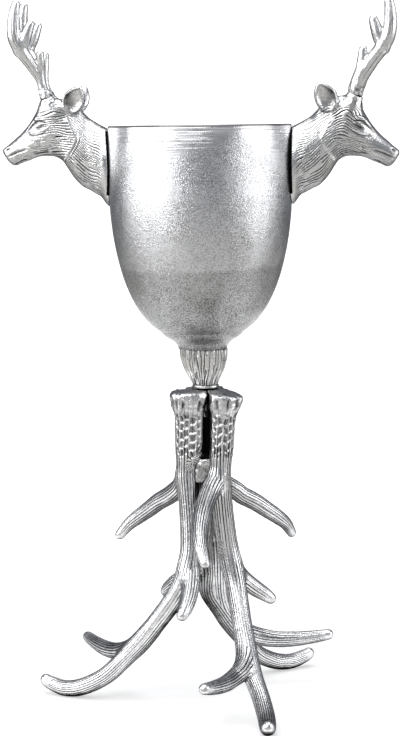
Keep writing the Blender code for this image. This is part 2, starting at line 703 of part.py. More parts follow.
def make_leg_fasteners(steel):
    collar_screw = screw(
        "collar_screw_left",
        COLLAR_SCREW_RADIUS,
        COLLAR_SCREW_HEAD_RADIUS,
        COLLAR_THICKNESS * COLLAR_SCREW_HEAD_SHARE,
        COLLAR_SCREW_LENGTH,
        taper=True,
    )
    laid(collar_screw, Matrix.Translation((COLLAR_SCREW_CIRCLE, 0, COLLAR_TOP_Z - SEAT_GAP)))
    finish(collar_screw, steel, turn=LEG_TURN)
    leg_pin = rod_between("leg_pin_left", *pin_ends(tongue_turn(), PIN_LENGTH / 2), PIN_RADIUS)
    finish(leg_pin, steel, turn=LEG_TURN)
    for i, name in enumerate(LEG_NAMES[1:], start=1):
        copy_of(collar_screw, "collar_screw_" + name, LEG_TURN + LEG_STEP * i)
        copy_of(leg_pin, "leg_pin_" + name, LEG_TURN + LEG_STEP * i)


def beside_cup(point, setback=0.0):
    """A point of the head's own frame, with what follows its x, y and z, about the cup's axis."""
    x, y, z, *rest = point
    return (x + CUP_RADIUS - setback, y, z + CUP_RIM_Z, *rest)


def section_point(station, angle, inset=0.0):
    """A point of the head's outline at one station, in the head's own frame."""
    x, top, bottom, half_width, square = station
    across = abs(cos(angle)) ** square * (1 if cos(angle) >= 0 else -1)
    up = abs(sin(angle)) ** square * (1 if sin(angle) >= 0 else -1)
    half_height = (top - bottom) / 2 - inset
    return (x, (half_width - inset) * across, (top + bottom) / 2 + half_height * up)


def lofted_neck(name, stations, inset=0.0):
    rings = []
    for station in stations:
        ring = [section_point(station, 2 * pi * k / HEAD_SIDES, inset) for k in range(HEAD_SIDES)]
        rings.append([Vector(beside_cup(point)) for point in ring])
    bm = bmesh.new()
    add_rings(bm, rings)
    return new_object(name, bm)


def cup_wall_cutter(name, clearance):
    """The cup's straight wall as a solid, with clearance, so that what lies on it is hollowed alike."""
    radius = CUP_RADIUS + clearance
    outline = [(radius, CUP_RIM_Z + FAR), (radius, CUP_RIM_Z - FAR)]
    return turned(name, outline, CUP_SIDES, pi / CUP_SIDES)


def wall_face_x():
    """Distance from the cup's axis to the middle of the flat facet behind each head."""
    return CUP_RADIUS * cos(pi / CUP_SIDES)


def neck_face_x():
    return wall_face_x() + GASKET_THICKNESS + 2 * SEAT_GAP


def ear_place(side, setback):
    """Where an ear sits on the skull, leaning back and splayed out to its side."""
    x, y, z = beside_cup(EAR_CENTRE, setback)
    splay = Matrix.Rotation(-EAR_SPLAY * side, 4, "X")
    return Matrix.Translation((x, y * side, z)) @ splay @ Matrix.Rotation(EAR_LEAN, 4, "Y")


def pedicle_ends(side, setback):
    """Root and seat of one pedicle. side is 1 or -1, towards +Y or -Y."""
    ends = []
    for point in (PEDICLE_ROOT, PEDICLE_SEAT):
        x, y, z = beside_cup(point, setback)
        ends.append(Vector((x, y * side, z)))
    return ends


def make_head(look, name):
    head = lofted_neck("head", HEAD_STATIONS)
    joined = []
    cuts = [
        cup_wall_cutter("cup_room", SEAT_GAP),
        block("gasket_room", (0, -FAR, GASKET_BOTTOM_Z), (neck_face_x(), FAR, GASKET_TOP_Z)),
    ]
    for side in (1, -1):
        place = ear_place(side, EAR_SETBACKS[name])
        joined.append(ball("ear", EAR_SIZE, place))
        root, seat = pedicle_ends(side, ANTLER_SETBACKS[name])
        joined.append(rod_between("pedicle", root, seat, PEDICLE_RADIUS, 14))
        x, y, z = EAR_HOLLOW_OFFSET
        cuts.append(ball("ear_hollow", EAR_HOLLOW_SIZE, place @ Matrix.Translation((x, y * side, z))))
        way = (seat - root).normalized()
        socket_low = seat - way * (PEG_LENGTH + SEAT_GAP)
        cuts.append(rod_between("socket", socket_low, seat + way * THROUGH, PEG_RADIUS + SEAT_GAP))
    for height in HEAD_SCREW_HEIGHTS:
        hole_end = (neck_face_x() + HEAD_SCREW_GRIP + SEAT_GAP, 0, height)
        cuts.append(rod_between("hole", (0, 0, height), hole_end, HEAD_SCREW_RADIUS + SEAT_GAP))
    finish(combine(head, joined=joined, cut=cuts), look, name + "_head", SIDE_TURNS[name])


def antler_route(points, name):
    """A route of the antler above its burr, leaned about the pedicle towards or away from the cup."""
    _, seat = pedicle_ends(1, ANTLER_SETBACKS[name])
    turn = Matrix.Rotation(ANTLER_LEANS[name], 3, "Y")
    made = []
    for point in points:
        x, y, z, radius = beside_cup(point, ANTLER_SETBACKS[name])
        made.append((*(seat + turn @ (Vector((x, y, z)) - seat)), radius))
    return made


def make_antlers(look, name):
    """Both antlers of a head: the one at +Y in the head's frame, and its mirror image."""
    root, seat = pedicle_ends(1, ANTLER_SETBACKS[name])
    way = (seat - root).normalized()
    foot = seat + way * SEAT_GAP
    burr = foot + way * (ANTLER_BEAM[1][2] - ANTLER_BEAM[0][2])
    route = [(*foot, ANTLER_BEAM[0][3]), (*burr, ANTLER_BEAM[1][3])]
    route += antler_route(ANTLER_BEAM[2:], name)
    antler = swept("antler", route, ANTLER_SIDES, ANTLER_RING_SPACING)
    flat = block("foot_plane", (-FAR, -FAR, -FAR), (FAR, FAR, 0))
    laid(flat, Matrix.Translation(foot) @ way.to_track_quat("Z", "Y").to_matrix().to_4x4())
    combine(antler, cut=[flat])
    joined = [rod_between("peg", seat - way * PEG_LENGTH, foot + way * PEG_RADIUS, PEG_RADIUS)]
    for points in (ANTLER_LOWER_TINE, ANTLER_MIDDLE_TINE):
        joined.append(swept("tine", antler_route(points, name), ANTLER_SIDES, ANTLER_RING_SPACING))
    combine(antler, joined=joined)
    other = mirrored(antler, "antler_mirrored")
    # The left head is turned half round, so its front and its back change places
    places = ("back", "front") if name == "right" else ("front", "back")
    for piece, place in zip((antler, other), places):
        finish(piece, look, name + "_antler_" + place, SIDE_TURNS[name])


def make_gaskets(look):
    """A pad between the flat back of each neck and the round wall, smaller than the neck all round."""
    back = [station for station in HEAD_STATIONS if station[0] < 3 * GASKET_THICKNESS + THROUGH]
    pad = lofted_neck("pad", back, GASKET_INSET)
    low_corner = (0, -FAR, GASKET_BOTTOM_Z + SEAT_GAP)
    high_corner = (neck_face_x() - SEAT_GAP, FAR, GASKET_TOP_Z - SEAT_GAP)
    cuts = [cup_wall_cutter("cup_room", SEAT_GAP)]
    for height in HEAD_SCREW_HEIGHTS:
        cuts.append(rod_between("hole", (0, 0, height), (FAR, 0, height), HEAD_SCREW_RADIUS + SEAT_GAP))
    pad = combine(pad, within=[block("room", low_corner, high_corner)], cut=cuts)
    finish(pad, look, "right_gasket", SIDE_TURNS["right"])
    copy_of(pad, "left_gasket", SIDE_TURNS["left"])


def make_head_fasteners(steel):
    inner_face = (CUP_RADIUS - CUP_WALL) * cos(pi / CUP_SIDES)
    washer_back = inner_face - SEAT_GAP
    head_back = washer_back - HEAD_WASHER_THICKNESS - SEAT_GAP
    head_top = head_back - HEAD_SCREW_HEAD_HEIGHT
    length = neck_face_x() + HEAD_SCREW_GRIP - head_top
    along_x = Matrix.Rotation(-pi / 2, 4, "Y")
    for place, height in zip(("upper", "lower"), HEAD_SCREW_HEIGHTS):
        bolt = screw(
            "right_screw_" + place,
            HEAD_SCREW_RADIUS,
            HEAD_SCREW_HEAD_RADIUS,
            HEAD_SCREW_HEAD_HEIGHT,
            length,
        )
        laid(bolt, Matrix.Translation((head_top, 0, height)) @ along_x)
        finish(bolt, steel)
        washer = rod_between(
            "right_washer_" + place,
            (washer_back - HEAD_WASHER_THICKNESS, 0, height),
            (washer_back, 0, height),
            HEAD_WASHER_RADIUS,
            16,
        )
        bore = rod_between("bore", (0, 0, height), (FAR, 0, height), HEAD_SCREW_RADIUS + SEAT_GAP)
        finish(combine(washer, cut=[bore]), steel)
        copy_of(bolt, "left_screw_" + place, SIDE_TURNS["left"])
        copy_of(washer, "left_washer_" + place, SIDE_TURNS["left"])


def stand_on_floor():
    """Parents every piece to one empty, placed so that the object's box is centred on the Z axis."""
    bpy.context.view_layer.update()
    pieces = [item for item in bpy.context.scene.objects if item.type == "MESH"]
    corners = [item.matrix_world @ vertex.co for item in pieces for vertex in item.data.vertices]
    centre = bpy.data.objects.new("cup_axis", None)
    bpy.context.scene.collection.objects.link(centre)
    for axis in (0, 1):
        values = [corner[axis] for corner in corners]
        centre.location[axis] = -(min(values) + max(values)) / 2
    centre.location[2] = -min(corner[2] for corner in corners)
    for item in pieces:
        item.parent = centre
    print("cup axis at", [round(value, 5) for value in centre.location])


def main():
    clear_scene()
    silver = material("cast_silver", SILVER)
    grey = material("cast_silver_grey", SILVER_GREY)
    steel = material("steel", STEEL)
    rubber = material("rubber", RUBBER)
    make_cup(grey)
    make_stem(silver)
    make_collar(silver)
    make_rod_set(steel, rubber)
    leg = make_leg(silver)
    for i, name in enumerate(LEG_NAMES[1:], start=1):
        copy_of(leg, "leg_" + name, LEG_TURN + LEG_STEP * i)
    make_web(grey)
    make_leg_fasteners(steel)
    for name in SIDE_TURNS:
        make_head(silver, name)
        make_antlers(silver, name)
    make_gaskets(rubber)
    make_head_fasteners(steel)
    stand_on_floor()


main()
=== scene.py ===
# %% [markdown]
# # A stag head wine cooler on an antler stand
#
# The CAD pieces give every size and place. This script draws the look round them: the granular
# cup, the two cast heads with their antlers, and the three antler legs. All shapes are worked out
# in millimetres about the cup's own axis, and each is moved into the frame as its piece is made.

# %% Load the frame
import json
import math
from itertools import product

import bpy
import numpy as np
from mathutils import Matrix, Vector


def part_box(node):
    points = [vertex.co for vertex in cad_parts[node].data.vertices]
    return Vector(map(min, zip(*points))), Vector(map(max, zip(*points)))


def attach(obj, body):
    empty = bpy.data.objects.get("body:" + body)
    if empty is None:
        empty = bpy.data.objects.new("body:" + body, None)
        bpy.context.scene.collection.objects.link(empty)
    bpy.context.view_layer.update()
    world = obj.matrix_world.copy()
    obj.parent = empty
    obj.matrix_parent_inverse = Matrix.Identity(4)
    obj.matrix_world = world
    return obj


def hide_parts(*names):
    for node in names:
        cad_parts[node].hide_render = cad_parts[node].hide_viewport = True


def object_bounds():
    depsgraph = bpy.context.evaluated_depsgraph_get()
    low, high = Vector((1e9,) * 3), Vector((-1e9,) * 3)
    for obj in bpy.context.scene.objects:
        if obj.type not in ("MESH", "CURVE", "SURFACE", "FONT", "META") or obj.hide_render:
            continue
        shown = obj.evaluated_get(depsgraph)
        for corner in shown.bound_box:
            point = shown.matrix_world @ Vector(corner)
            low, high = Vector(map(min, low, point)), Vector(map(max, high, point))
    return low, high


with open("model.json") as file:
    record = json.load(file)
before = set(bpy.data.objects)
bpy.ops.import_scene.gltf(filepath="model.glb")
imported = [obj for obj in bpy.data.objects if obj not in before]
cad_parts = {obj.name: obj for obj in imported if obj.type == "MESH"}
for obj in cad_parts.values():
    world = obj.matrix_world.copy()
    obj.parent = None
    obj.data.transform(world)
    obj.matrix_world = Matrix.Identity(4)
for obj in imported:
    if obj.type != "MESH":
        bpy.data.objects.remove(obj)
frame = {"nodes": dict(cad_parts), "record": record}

import openvdb
from mathutils import Matrix, Vector

CAD_BOX = [list(corner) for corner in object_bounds()]
MM = 0.001
low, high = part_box("stem_collar")
AXIS = np.array([(low.x + high.x) / 2, (low.y + high.y) / 2, 0.0])
print("cup axis", AXIS, "CAD box", CAD_BOX)

# %% [markdown]
# ## Sizes
#
# On the real object the cup, the stem and the collar are stacked on the three legs. Their heights
# could be typed in, but they are read from the CAD pieces, so that each piece of the look meets
# the next one as the solids do. In a quick draft COARSE makes every grid wider, to save time.

# %% Sizes
def heights(node):
    """The lowest and the highest point of a CAD piece, in millimetres."""
    return tuple(corner.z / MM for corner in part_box(node))


FOOT_Z, RIM_Z = heights("bowl")
STEM_LOW, STEM_TOP = heights("stem")
COLLAR_LOW, COLLAR_TOP = heights("stem_collar")
LEG_TOP = heights("leg_left")[1]
CUP_RADIUS = 103.5
COLLAR_RADIUS = 15.3
LEG_TURNS = {"left": math.radians(212.6), "front": math.radians(332.6), "back": math.radians(92.6)}
COARSE = 1.0
print("rim at", RIM_Z, "stem from", STEM_LOW, "to", STEM_TOP, "legs up to", LEG_TOP)

# %% [markdown]
# ## Number tools
#
# Hand work is never quite even, so nearly every shape below is bent a little by noise. The noise
# could come from Blender, but here it reads one fixed table of random values, so every run gives
# the same object and numpy can work on all the points of a mesh at once.

# %% Number tools
TABLE = np.random.default_rng(7).uniform(-1.0, 1.0, (32, 32, 32))


def step(low, high, value):
    """A smooth step from 0 at low to 1 at high."""
    t = np.clip((value - low) / (high - low), 0.0, 1.0)
    return t * t * (3.0 - 2.0 * t)


def noise(points, size=1.0, seed=0.0):
    """Smooth random values from -1 to 1 that change over the given size."""
    place = np.asarray(points, float) / size + seed * 7.31
    cell = np.floor(place).astype(int)
    share = place - cell
    share = share * share * (3.0 - 2.0 * share)
    total = np.zeros(len(place))
    for corner in product((0, 1), repeat=3):
        weight = np.ones(len(place))
        for axis in range(3):
            weight *= share[:, axis] if corner[axis] else 1.0 - share[:, axis]
        index = (cell + corner) % 32
        total += weight * TABLE[index[:, 0], index[:, 1], index[:, 2]]
    return total


def ridge(phase, power):
    """1 along evenly spaced lines, one for each pi of phase; a higher power makes them thinner."""
    return (1.0 - np.abs(np.sin(phase))) ** power


def smooth_route(points, spacing):
    """A smooth curve through points, whose first three numbers are a place."""
    knots = np.array(points, float)
    ends = np.vstack([knots[:1], knots, knots[-1:]])
    made = []
    for i in range(1, len(ends) - 2):
        a, b, c, d = ends[i - 1:i + 3]
        steps = max(1, round(float(np.linalg.norm((c - b)[:3])) / spacing))
        t = (np.arange(steps) / steps)[:, None]
        bend = (2 * a - 5 * b + 4 * c - d) * t**2 + (3 * b - a - 3 * c + d) * t**3
        made.append(0.5 * (2 * b + (c - a) * t + bend))
    made.append(knots[-1:])
    return np.vstack(made)


def smooth_min(a, b, reach):
    """The smaller of two fields, rounded over the width of reach where they cross."""
    share = np.clip(0.5 + 0.5 * (b - a) / reach, 0.0, 1.0)
    return b + (a - b) * share - reach * share * (1.0 - share)


def smooth_max(a, b, reach):
    return -smooth_min(-a, -b, reach)


print("noise table", TABLE.shape)

# %% [markdown]
# ## Fields
#
# An antler or a head branches, and its parts run into each other softly, as cast metal does. Such a
# shape could be sculpted, or joined from tubes with a boolean that leaves hard seams. Here it is a
# field instead: for each point of a grid, how far it lies outside the shape. The smaller of two
# fields joins them, and a smooth minimum rounds the joint.

# %% Field tools
FIELD_REACH = 9.0


def grid_points(low, high, voxel):
    """The x, y and z values of a grid from low to high."""
    counts = np.ceil((np.asarray(high) - low) / voxel).astype(int) + 1
    return [low[axis] + voxel * np.arange(counts[axis]) for axis in range(3)]


def spread(axes):
    """The same values, shaped so that x, y and z combine into a full grid."""
    return axes[0][:, None, None], axes[1][None, :, None], axes[2][None, None, :]


def room_for(routes, below, above):
    """The corners of a box round all the routes, with room to spare below and above them."""
    low = np.min([route[:, :3].min(0) for route in routes], 0) - below
    high = np.max([route[:, :3].max(0) for route in routes], 0) + above
    return low, high


def tube_field(route, axes, reach=FIELD_REACH):
    """How far each grid point lies outside a tube; a route's fourth number is its radius."""
    field = np.full([len(axis) for axis in axes], reach, np.float32)
    low = np.array([axis[0] for axis in axes])
    voxel = axes[0][1] - axes[0][0]
    for a, b in zip(route, route[1:]):
        width = max(a[3], b[3]) + reach
        first = np.maximum(((np.minimum(a, b)[:3] - width - low) / voxel).astype(int), 0)
        last = ((np.maximum(a, b)[:3] + width - low) / voxel).astype(int) + 2
        last = np.minimum(last, field.shape)
        if (first >= last).any():
            continue
        near = tuple(slice(i, j) for i, j in zip(first, last))
        x, y, z = spread([axis[part] - a[k] for k, (axis, part) in enumerate(zip(axes, near))])
        way = (b - a)[:3]
        t = np.clip((x * way[0] + y * way[1] + z * way[2]) / (way @ way), 0.0, 1.0)
        gap = np.sqrt((x - t * way[0]) ** 2 + (y - t * way[1]) ** 2 + (z - t * way[2]) ** 2)
        gap -= a[3] + t * (b[3] - a[3])
        np.minimum(field[near], gap, out=field[near])
    return field


def joined_tubes(routes, axes, blend, reach=FIELD_REACH):
    """Tubes along all the routes, each joined to the ones before it over the width of blend."""
    field = tube_field(routes[0], axes, reach)
    for route in routes[1:]:
        field = smooth_min(field, tube_field(route, axes, reach), blend)
    return field


def egg_field(x, y, z, half_sizes):
    """How far points lie outside an egg about the origin, near its skin."""
    a, b, c = half_sizes
    first = np.sqrt((x / a) ** 2 + (y / b) ** 2 + (z / c) ** 2)
    second = np.sqrt((x / a**2) ** 2 + (y / b**2) ** 2 + (z / c**2) ** 2)
    return first * (first - 1.0) / np.maximum(second, 1e-6)


print("fields reach", FIELD_REACH, "mm")

# %% [markdown]
# ## From a field to a skin
#
# A mesh needs points and faces. A remesh modifier could give them, but OpenVDB, which comes with
# Blender, turns the field straight into one closed skin of four-sided faces. It shows the steps of
# the grid a little, so each point is then moved twice towards the middle of its neighbours.

# %% Skin tools
def volume_of(points, faces):
    a, b, c, d = (points[faces[:, k]] for k in range(4))
    halves = np.einsum("ij,ij->i", a, np.cross(b, c)) + np.einsum("ij,ij->i", a, np.cross(c, d))
    return float(halves.sum() / 6.0)


def relaxed(points, faces, times=2, share=0.5):
    """Evens out the small steps of the grid."""
    starts = faces.ravel()
    ends = np.roll(faces, -1, axis=1).ravel()
    both = np.concatenate([starts, ends])
    others = np.concatenate([ends, starts])
    count = np.maximum(np.bincount(both, minlength=len(points)), 1)[:, None]
    for _ in range(times):
        sums = [np.bincount(both, points[others, axis], len(points)) for axis in range(3)]
        points = points + (np.stack(sums, 1) / count - points) * share
    return points


def skin_of(field, axes):
    """Points in millimetres and four-sided faces of the field's skin, faces outwards."""
    voxel = axes[0][1] - axes[0][0]
    grid = openvdb.FloatGrid(background=float(FIELD_REACH))
    grid.copyFromArray(np.ascontiguousarray(field, dtype=np.float32))
    points, faces = grid.convertToQuads(isovalue=0.0)
    points = points.astype(float) * voxel + np.array([axis[0] for axis in axes])
    faces = faces.astype(int)
    if volume_of(points, faces) < 0:
        faces = faces[:, ::-1]
    return relaxed(points, faces), faces


def normals_of(points, faces):
    """The outward direction at each point, from the faces round it."""
    a, b, c, d = (points[faces[:, k]] for k in range(4))
    across = np.cross(c - a, d - b)
    total = np.zeros_like(points)
    for k in range(4):
        for axis in range(3):
            total[:, axis] += np.bincount(faces[:, k], across[:, axis], len(points))
    return total / np.maximum(np.linalg.norm(total, axis=1), 1e-9)[:, None]


axes = grid_points(np.full(3, -14.0), np.full(3, 14.0), 1.0)
points, faces = skin_of(egg_field(*spread(axes), (10.0, 10.0, 10.0)), axes)
print("a trial ball of 10 mm has", len(faces), "faces and", round(volume_of(points, faces)), "cubic mm")

# %% [markdown]
# ## Following a route over a surface
#
# The grooves of an antler run along it, so each point of the skin has to know how far along the
# route it lies and at what angle round it. Texture coordinates could hold that, but there is no
# seam to hide when it is worked out for each point. The grooves are then lines of equal angle,
# bent by noise, and fade in and out as on a real antler.

# %% Route tools
def frame_along(centres):
    """The direction of a route at each of its points, and two directions square to it."""
    ways = np.gradient(centres, axis=0)
    ways /= np.linalg.norm(ways, axis=1)[:, None]
    sides = np.zeros_like(ways)
    side = np.array((0.0, 1.0, 0.0))
    for i, way in enumerate(ways):
        side = side - way * (side @ way)
        side /= np.linalg.norm(side)
        sides[i] = side
    return ways, sides, np.cross(ways, sides)


def follow(points, route):
    """For each point: its place along a route, the angle round it, and its gap to the tube."""
    centres = route[:, :3]
    ways, sides, across = frame_along(centres)
    gaps = np.linalg.norm(np.diff(centres, axis=0), axis=1)
    lengths = np.concatenate([[0.0], np.cumsum(gaps)])
    nearest = np.empty(len(points), int)
    for start in range(0, len(points), 20000):
        part = points[start:start + 20000]
        nearest[start:start + 20000] = ((part[:, None, :] - centres[None]) ** 2).sum(2).argmin(1)
    offset = points - centres[nearest]
    along = (offset * ways[nearest]).sum(1)
    radial = offset - along[:, None] * ways[nearest]
    radius = route[nearest, 3]
    return {
        "u": lengths[nearest] + along,
        "left": lengths[-1] - lengths[nearest] - along,
        "angle": np.arctan2((radial * across[nearest]).sum(1), (radial * sides[nearest]).sum(1)),
        "radius": radius,
        "gap": np.linalg.norm(radial, axis=1) - radius,
    }


def round_place(at, wide, long):
    """Places for noise that runs along a route without a seam: wide round it, long along it."""
    return np.stack([np.cos(at["angle"]) * wide, np.sin(at["angle"]) * wide, at["u"] / long], 1)


def groove_vector(phase, strength):
    """What the material reads: the phase as a direction, which has no seam, and a strength."""
    return np.stack([np.cos(2 * phase), np.sin(2 * phase), strength], 1)


def grooves(at, count, wander, seed):
    """Depth from 0 to 1 of long grooves along a route, and their phase and strength."""
    phase = at["angle"] * count / 2 + noise(round_place(at, 1.3, 55.0), 1.0, seed) * wander
    fade = step(-0.45, 0.35, noise(round_place(at, 3.2, 30.0), 1.0, seed + 1.0))
    return ridge(phase, 2.0) * (0.3 + 0.7 * fade), groove_vector(phase, fade)


route = np.array([(float(k), 0.0, 0.0, 2.0) for k in range(9)])
trial = follow(np.array([(5.0, 0.0, 3.0)]), route)
print("a point 3 mm over a tube of 2 mm lies", trial["u"], "along it, with a gap of", trial["gap"])

# %% [markdown]
# ## Blending what the routes carve
#
# Where a tine leaves the beam, both would carve the same skin. A hard border between them would show
# as a step, so what each route carves counts by how near it is. Grooves can't be averaged in this
# way without a twist, so there the nearest route wins.

# %% Route blend
class RouteBlend:
    """What the routes carve, weighted by how near each one is, and the nearest one's grooves."""

    def __init__(self, points):
        self.cut, self.dark, self.weights = np.zeros((3, len(points)))
        self.groove = np.zeros_like(points)
        self.nearest = np.full(len(points), 1e9)

    def add(self, at, width, cut, dark, groove, free=1.0):
        """Free is 0 where a branch still lies inside the beam, so that the beam's grooves win."""
        weight = np.exp(-np.clip(at["gap"], 0.0, 40.0) / width) * free + 1e-6
        self.cut += weight * cut
        self.dark += weight * dark
        self.weights += weight
        gap = at["gap"] + 4.0 * (1.0 - free)
        nearer = gap < self.nearest
        self.nearest[nearer] = gap[nearer]
        self.groove[nearer] = groove[nearer]

    def mean(self):
        return self.cut / self.weights, self.dark / self.weights


blend = RouteBlend(np.zeros((1, 3)))
for gap, cut in ((0.0, 1.0), (1.0, 0.0)):
    blend.add({"gap": np.array([gap])}, 1.0, cut, 0.0, np.zeros((1, 3)))
print("near a deep route and a little further from a flat one, the cut is", blend.mean()[0])

# %% [markdown]
# ## Pieces
#
# Each casting becomes one mesh object at the origin, with its place in its mesh, and takes the place
# of its CAD node. Darkness and grooves are kept on the mesh as attributes, where its material reads
# them. Every piece rides on a body of the CAD, and as nothing moves here, all ride on the same one.

# %% Piece tools
def new_object(name, points, faces, look, values):
    """A smooth mesh object; values are kept on its points under their names."""
    mesh = bpy.data.meshes.new(name)
    mesh.from_pydata(points, [], faces)
    mesh.update()
    for key, value in values.items():
        value = np.asarray(value, np.float32)
        kind, field = ("FLOAT", "value") if value.ndim == 1 else ("FLOAT_VECTOR", "vector")
        mesh.attributes.new(key, kind, "POINT").data.foreach_set(field, value.ravel())
    mesh.materials.append(look)
    mesh.shade_smooth()
    made = bpy.data.objects.new(name, mesh)
    bpy.context.scene.collection.objects.link(made)
    return made


def add_piece(name, points, faces, look, stands_for, values):
    """A finished piece from points in millimetres about the cup's axis."""
    place = np.asarray(points) * MM + AXIS
    place = np.clip(place, np.array(CAD_BOX[0]) + 1e-5, np.array(CAD_BOX[1]) - 1e-5)
    faces = faces.tolist() if isinstance(faces, np.ndarray) else faces
    piece = new_object(name, place.tolist(), faces, look, values)
    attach(piece, "root")
    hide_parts(*stands_for)
    print(name, len(faces), "faces")
    return piece


print("pieces are kept inside", CAD_BOX)

# %% [markdown]
# ## Turned shapes
#
# The cup, the stem and the collar are turned. A Screw modifier could spin their outlines, but plain
# rings of points leave every ring free to be changed. The stand's top leans a little to the right of
# the cup's axis, as it does on the real one.

# %% Turned shapes
# Height, and how far the stand leans to the right there
LEAN = np.array((
    (0.0, 0.0), (262.0, 0.0), (290.0, 1.8), (330.0, 3.0),
    (366.0, 2.8), (372.0, 2.0), (408.4, 0.9), (409.0, 0.0),
))


def leaned(points):
    moved = np.array(points, float)
    moved[:, 0] += np.interp(moved[:, 2], LEAN[:, 0], LEAN[:, 1])
    return moved


def spun(points, angle):
    """Points turned about the cup's axis."""
    cosine, sine = math.cos(angle), math.sin(angle)
    return points @ np.array(((cosine, -sine, 0), (sine, cosine, 0), (0, 0, 1))).T


def turned_mesh(outline, sides):
    """Points and faces of a turned shape; the outline's (radius, height) pairs run pole to pole."""
    angles = np.arange(sides) * 2 * math.pi / sides
    inner = np.array(outline[1:-1], float)
    radius = np.repeat(inner[:, :1], sides, 1)
    height = np.repeat(inner[:, 1:], sides, 1)
    rings = np.stack([radius * np.cos(angles), radius * np.sin(angles), height], 2).reshape(-1, 3)
    points = np.vstack([[0, 0, outline[0][1]], rings, [0, 0, outline[-1][1]]])
    last = len(points) - 1
    faces = []
    for k in range(sides):
        j = (k + 1) % sides
        faces.append((0, 1 + j, 1 + k))
        faces.append((last, last - sides + k, last - sides + j))
        for a in range(1, last - sides, sides):
            faces.append((a + k, a + j, a + sides + j, a + sides + k))
    return points, faces


def flipped(faces):
    """The same faces, looking the other way."""
    return [face[::-1] for face in faces]


print("the stand leans by up to", LEAN[:, 1].max(), "mm")

# %% [markdown]
# ## Node bench
#
# Materials and Geometry Nodes are both trees of nodes. Each could be wired by hand in its editor.
# In a script a small bench keeps it readable: one call adds one node, fills its inputs with
# numbers or with other nodes' outputs, and gives back its own output.

# %% Node bench
class Bench:
    """Builds in one node tree. A clamped bench keeps every sum between 0 and 1."""

    def __init__(self, tree, clamped=False):
        self.tree, self.clamped = tree, clamped

    def add(self, kind, *values, **settings):
        """A node with its settings, whose first inputs are filled in order."""
        node = self.tree.nodes.new(kind)
        for name, value in settings.items():
            setattr(node, name, value)
        for socket, value in zip(node.inputs, values):
            self.fill(socket, value)
        return node

    def fill(self, socket, value):
        """Gives a socket another node's output, or else a plain value."""
        if isinstance(value, bpy.types.NodeSocket):
            self.tree.links.new(value, socket)
        else:
            socket.default_value = value

    def fill_named(self, node, values):
        for name, value in values.items():
            self.fill(node.inputs[name], value)

    def math(self, operation, *values):
        node = self.add("ShaderNodeMath", *values, operation=operation, use_clamp=self.clamped)
        return node.outputs[0]

    def plus(self, first, second):
        return self.math("ADD", first, second)

    def times(self, first, second):
        return self.math("MULTIPLY", first, second)

    def noise(self, place, scale, detail, stretch=None):
        """A noise texture over places in metres."""
        if stretch:
            mapping = self.add("ShaderNodeMapping", place)
            self.fill_named(mapping, {"Scale": stretch})
            place = mapping.outputs[0]
        texture = self.add("ShaderNodeTexNoise", place)
        self.fill_named(texture, {"Scale": scale, "Detail": detail})
        return texture.outputs["Fac"]

    def ramp(self, source, *stops):
        """Maps a value through two (position, brightness) stops."""
        node = self.add("ShaderNodeValToRGB", source)
        for element, (position, value) in zip(node.color_ramp.elements, stops):
            element.position = position
            element.color = (value, value, value, 1.0)
        return node.outputs[0]

    def bump(self, height, distance, strength, before=None):
        node = self.add("ShaderNodeBump")
        self.fill_named(node, {"Height": height, "Distance": distance, "Strength": strength})
        if before is not None:
            self.fill_named(node, {"Normal": before})
        return node.outputs[0]

    def kept(self, name, part="Fac"):
        """A value that the mesh keeps on its points."""
        return self.add("ShaderNodeAttribute", attribute_name=name).outputs[part]

    def parts(self, vector):
        return self.add("ShaderNodeSeparateXYZ", vector).outputs

    def blend(self, share, first, second):
        """A colour between two others."""
        node = self.add("ShaderNodeMix", data_type="RGBA")
        self.fill_named(node, {"Factor": share, "A": (*first, 1.0), "B": (*second, 1.0)})
        return node.outputs["Result"]


print("the node bench is ready for materials and for Geometry Nodes")

# %% [markdown]
# ## Cast and polished metal
#
# A polishing wheel makes the high parts of a casting bright, and never reaches its hollows, which
# stay dark and dull. A photograph of real metal could be laid over it, but it would slide and blur.
# Instead three kinds of darkness are added up: what the shape keeps on its points, which is patina in
# its hollows and painted shade on its undersides and shut-in faces, fine speckles of the cast skin, and
# painted shade in corners where surfaces lie close together. The lines in the grooves, which are both
# patina and painted shade, come from their phase, so they stay thin however coarse the mesh is.

# %% Cast and polished metal
# Painted shade at the edges: the metal reflects almost nothing where it is seen edge on, so it draws
# thin dark outlines
EDGE_TINT = (0.06, 0.06, 0.07)
# How many to a metre
SPECKLES, GRAINS, PATCHES = 800.0, 700.0, 45.0
# How much rougher a fully dark hollow is
HOLLOW_ROUGHNESS = 0.25


def new_look(name):
    """A new material, a clamped bench in it, and its shader."""
    made = bpy.data.materials.new(name)
    made.use_nodes = True
    return made, Bench(made.node_tree, clamped=True), made.node_tree.nodes["Principled BSDF"]


def painted_corner_shade(bench, reach):
    """Painted shade where surfaces lie closer together than the reach, in metres."""
    occlusion = bench.add("ShaderNodeAmbientOcclusion", samples=6)
    bench.fill_named(occlusion, {"Distance": reach})
    return bench.ramp(occlusion.outputs["AO"], (0.15, 0.9), (0.66, 0.0))


def groove_lines(bench, span):
    """Thin dark lines at the bottom of the grooves, both patina and painted shade, from the phase and
    the strength kept there.
    """
    groove = bench.kept("groove", "Vector")
    flat = bench.add("ShaderNodeVectorMath", groove, (1.0, 1.0, 0.0), operation="MULTIPLY")
    unit = bench.add("ShaderNodeVectorMath", flat.outputs[0], operation="NORMALIZE")
    lines = bench.ramp(bench.parts(unit.outputs[0])["X"], (span[0], 0.0), (span[1], 1.0))
    return bench.times(lines, bench.parts(groove)["Z"])


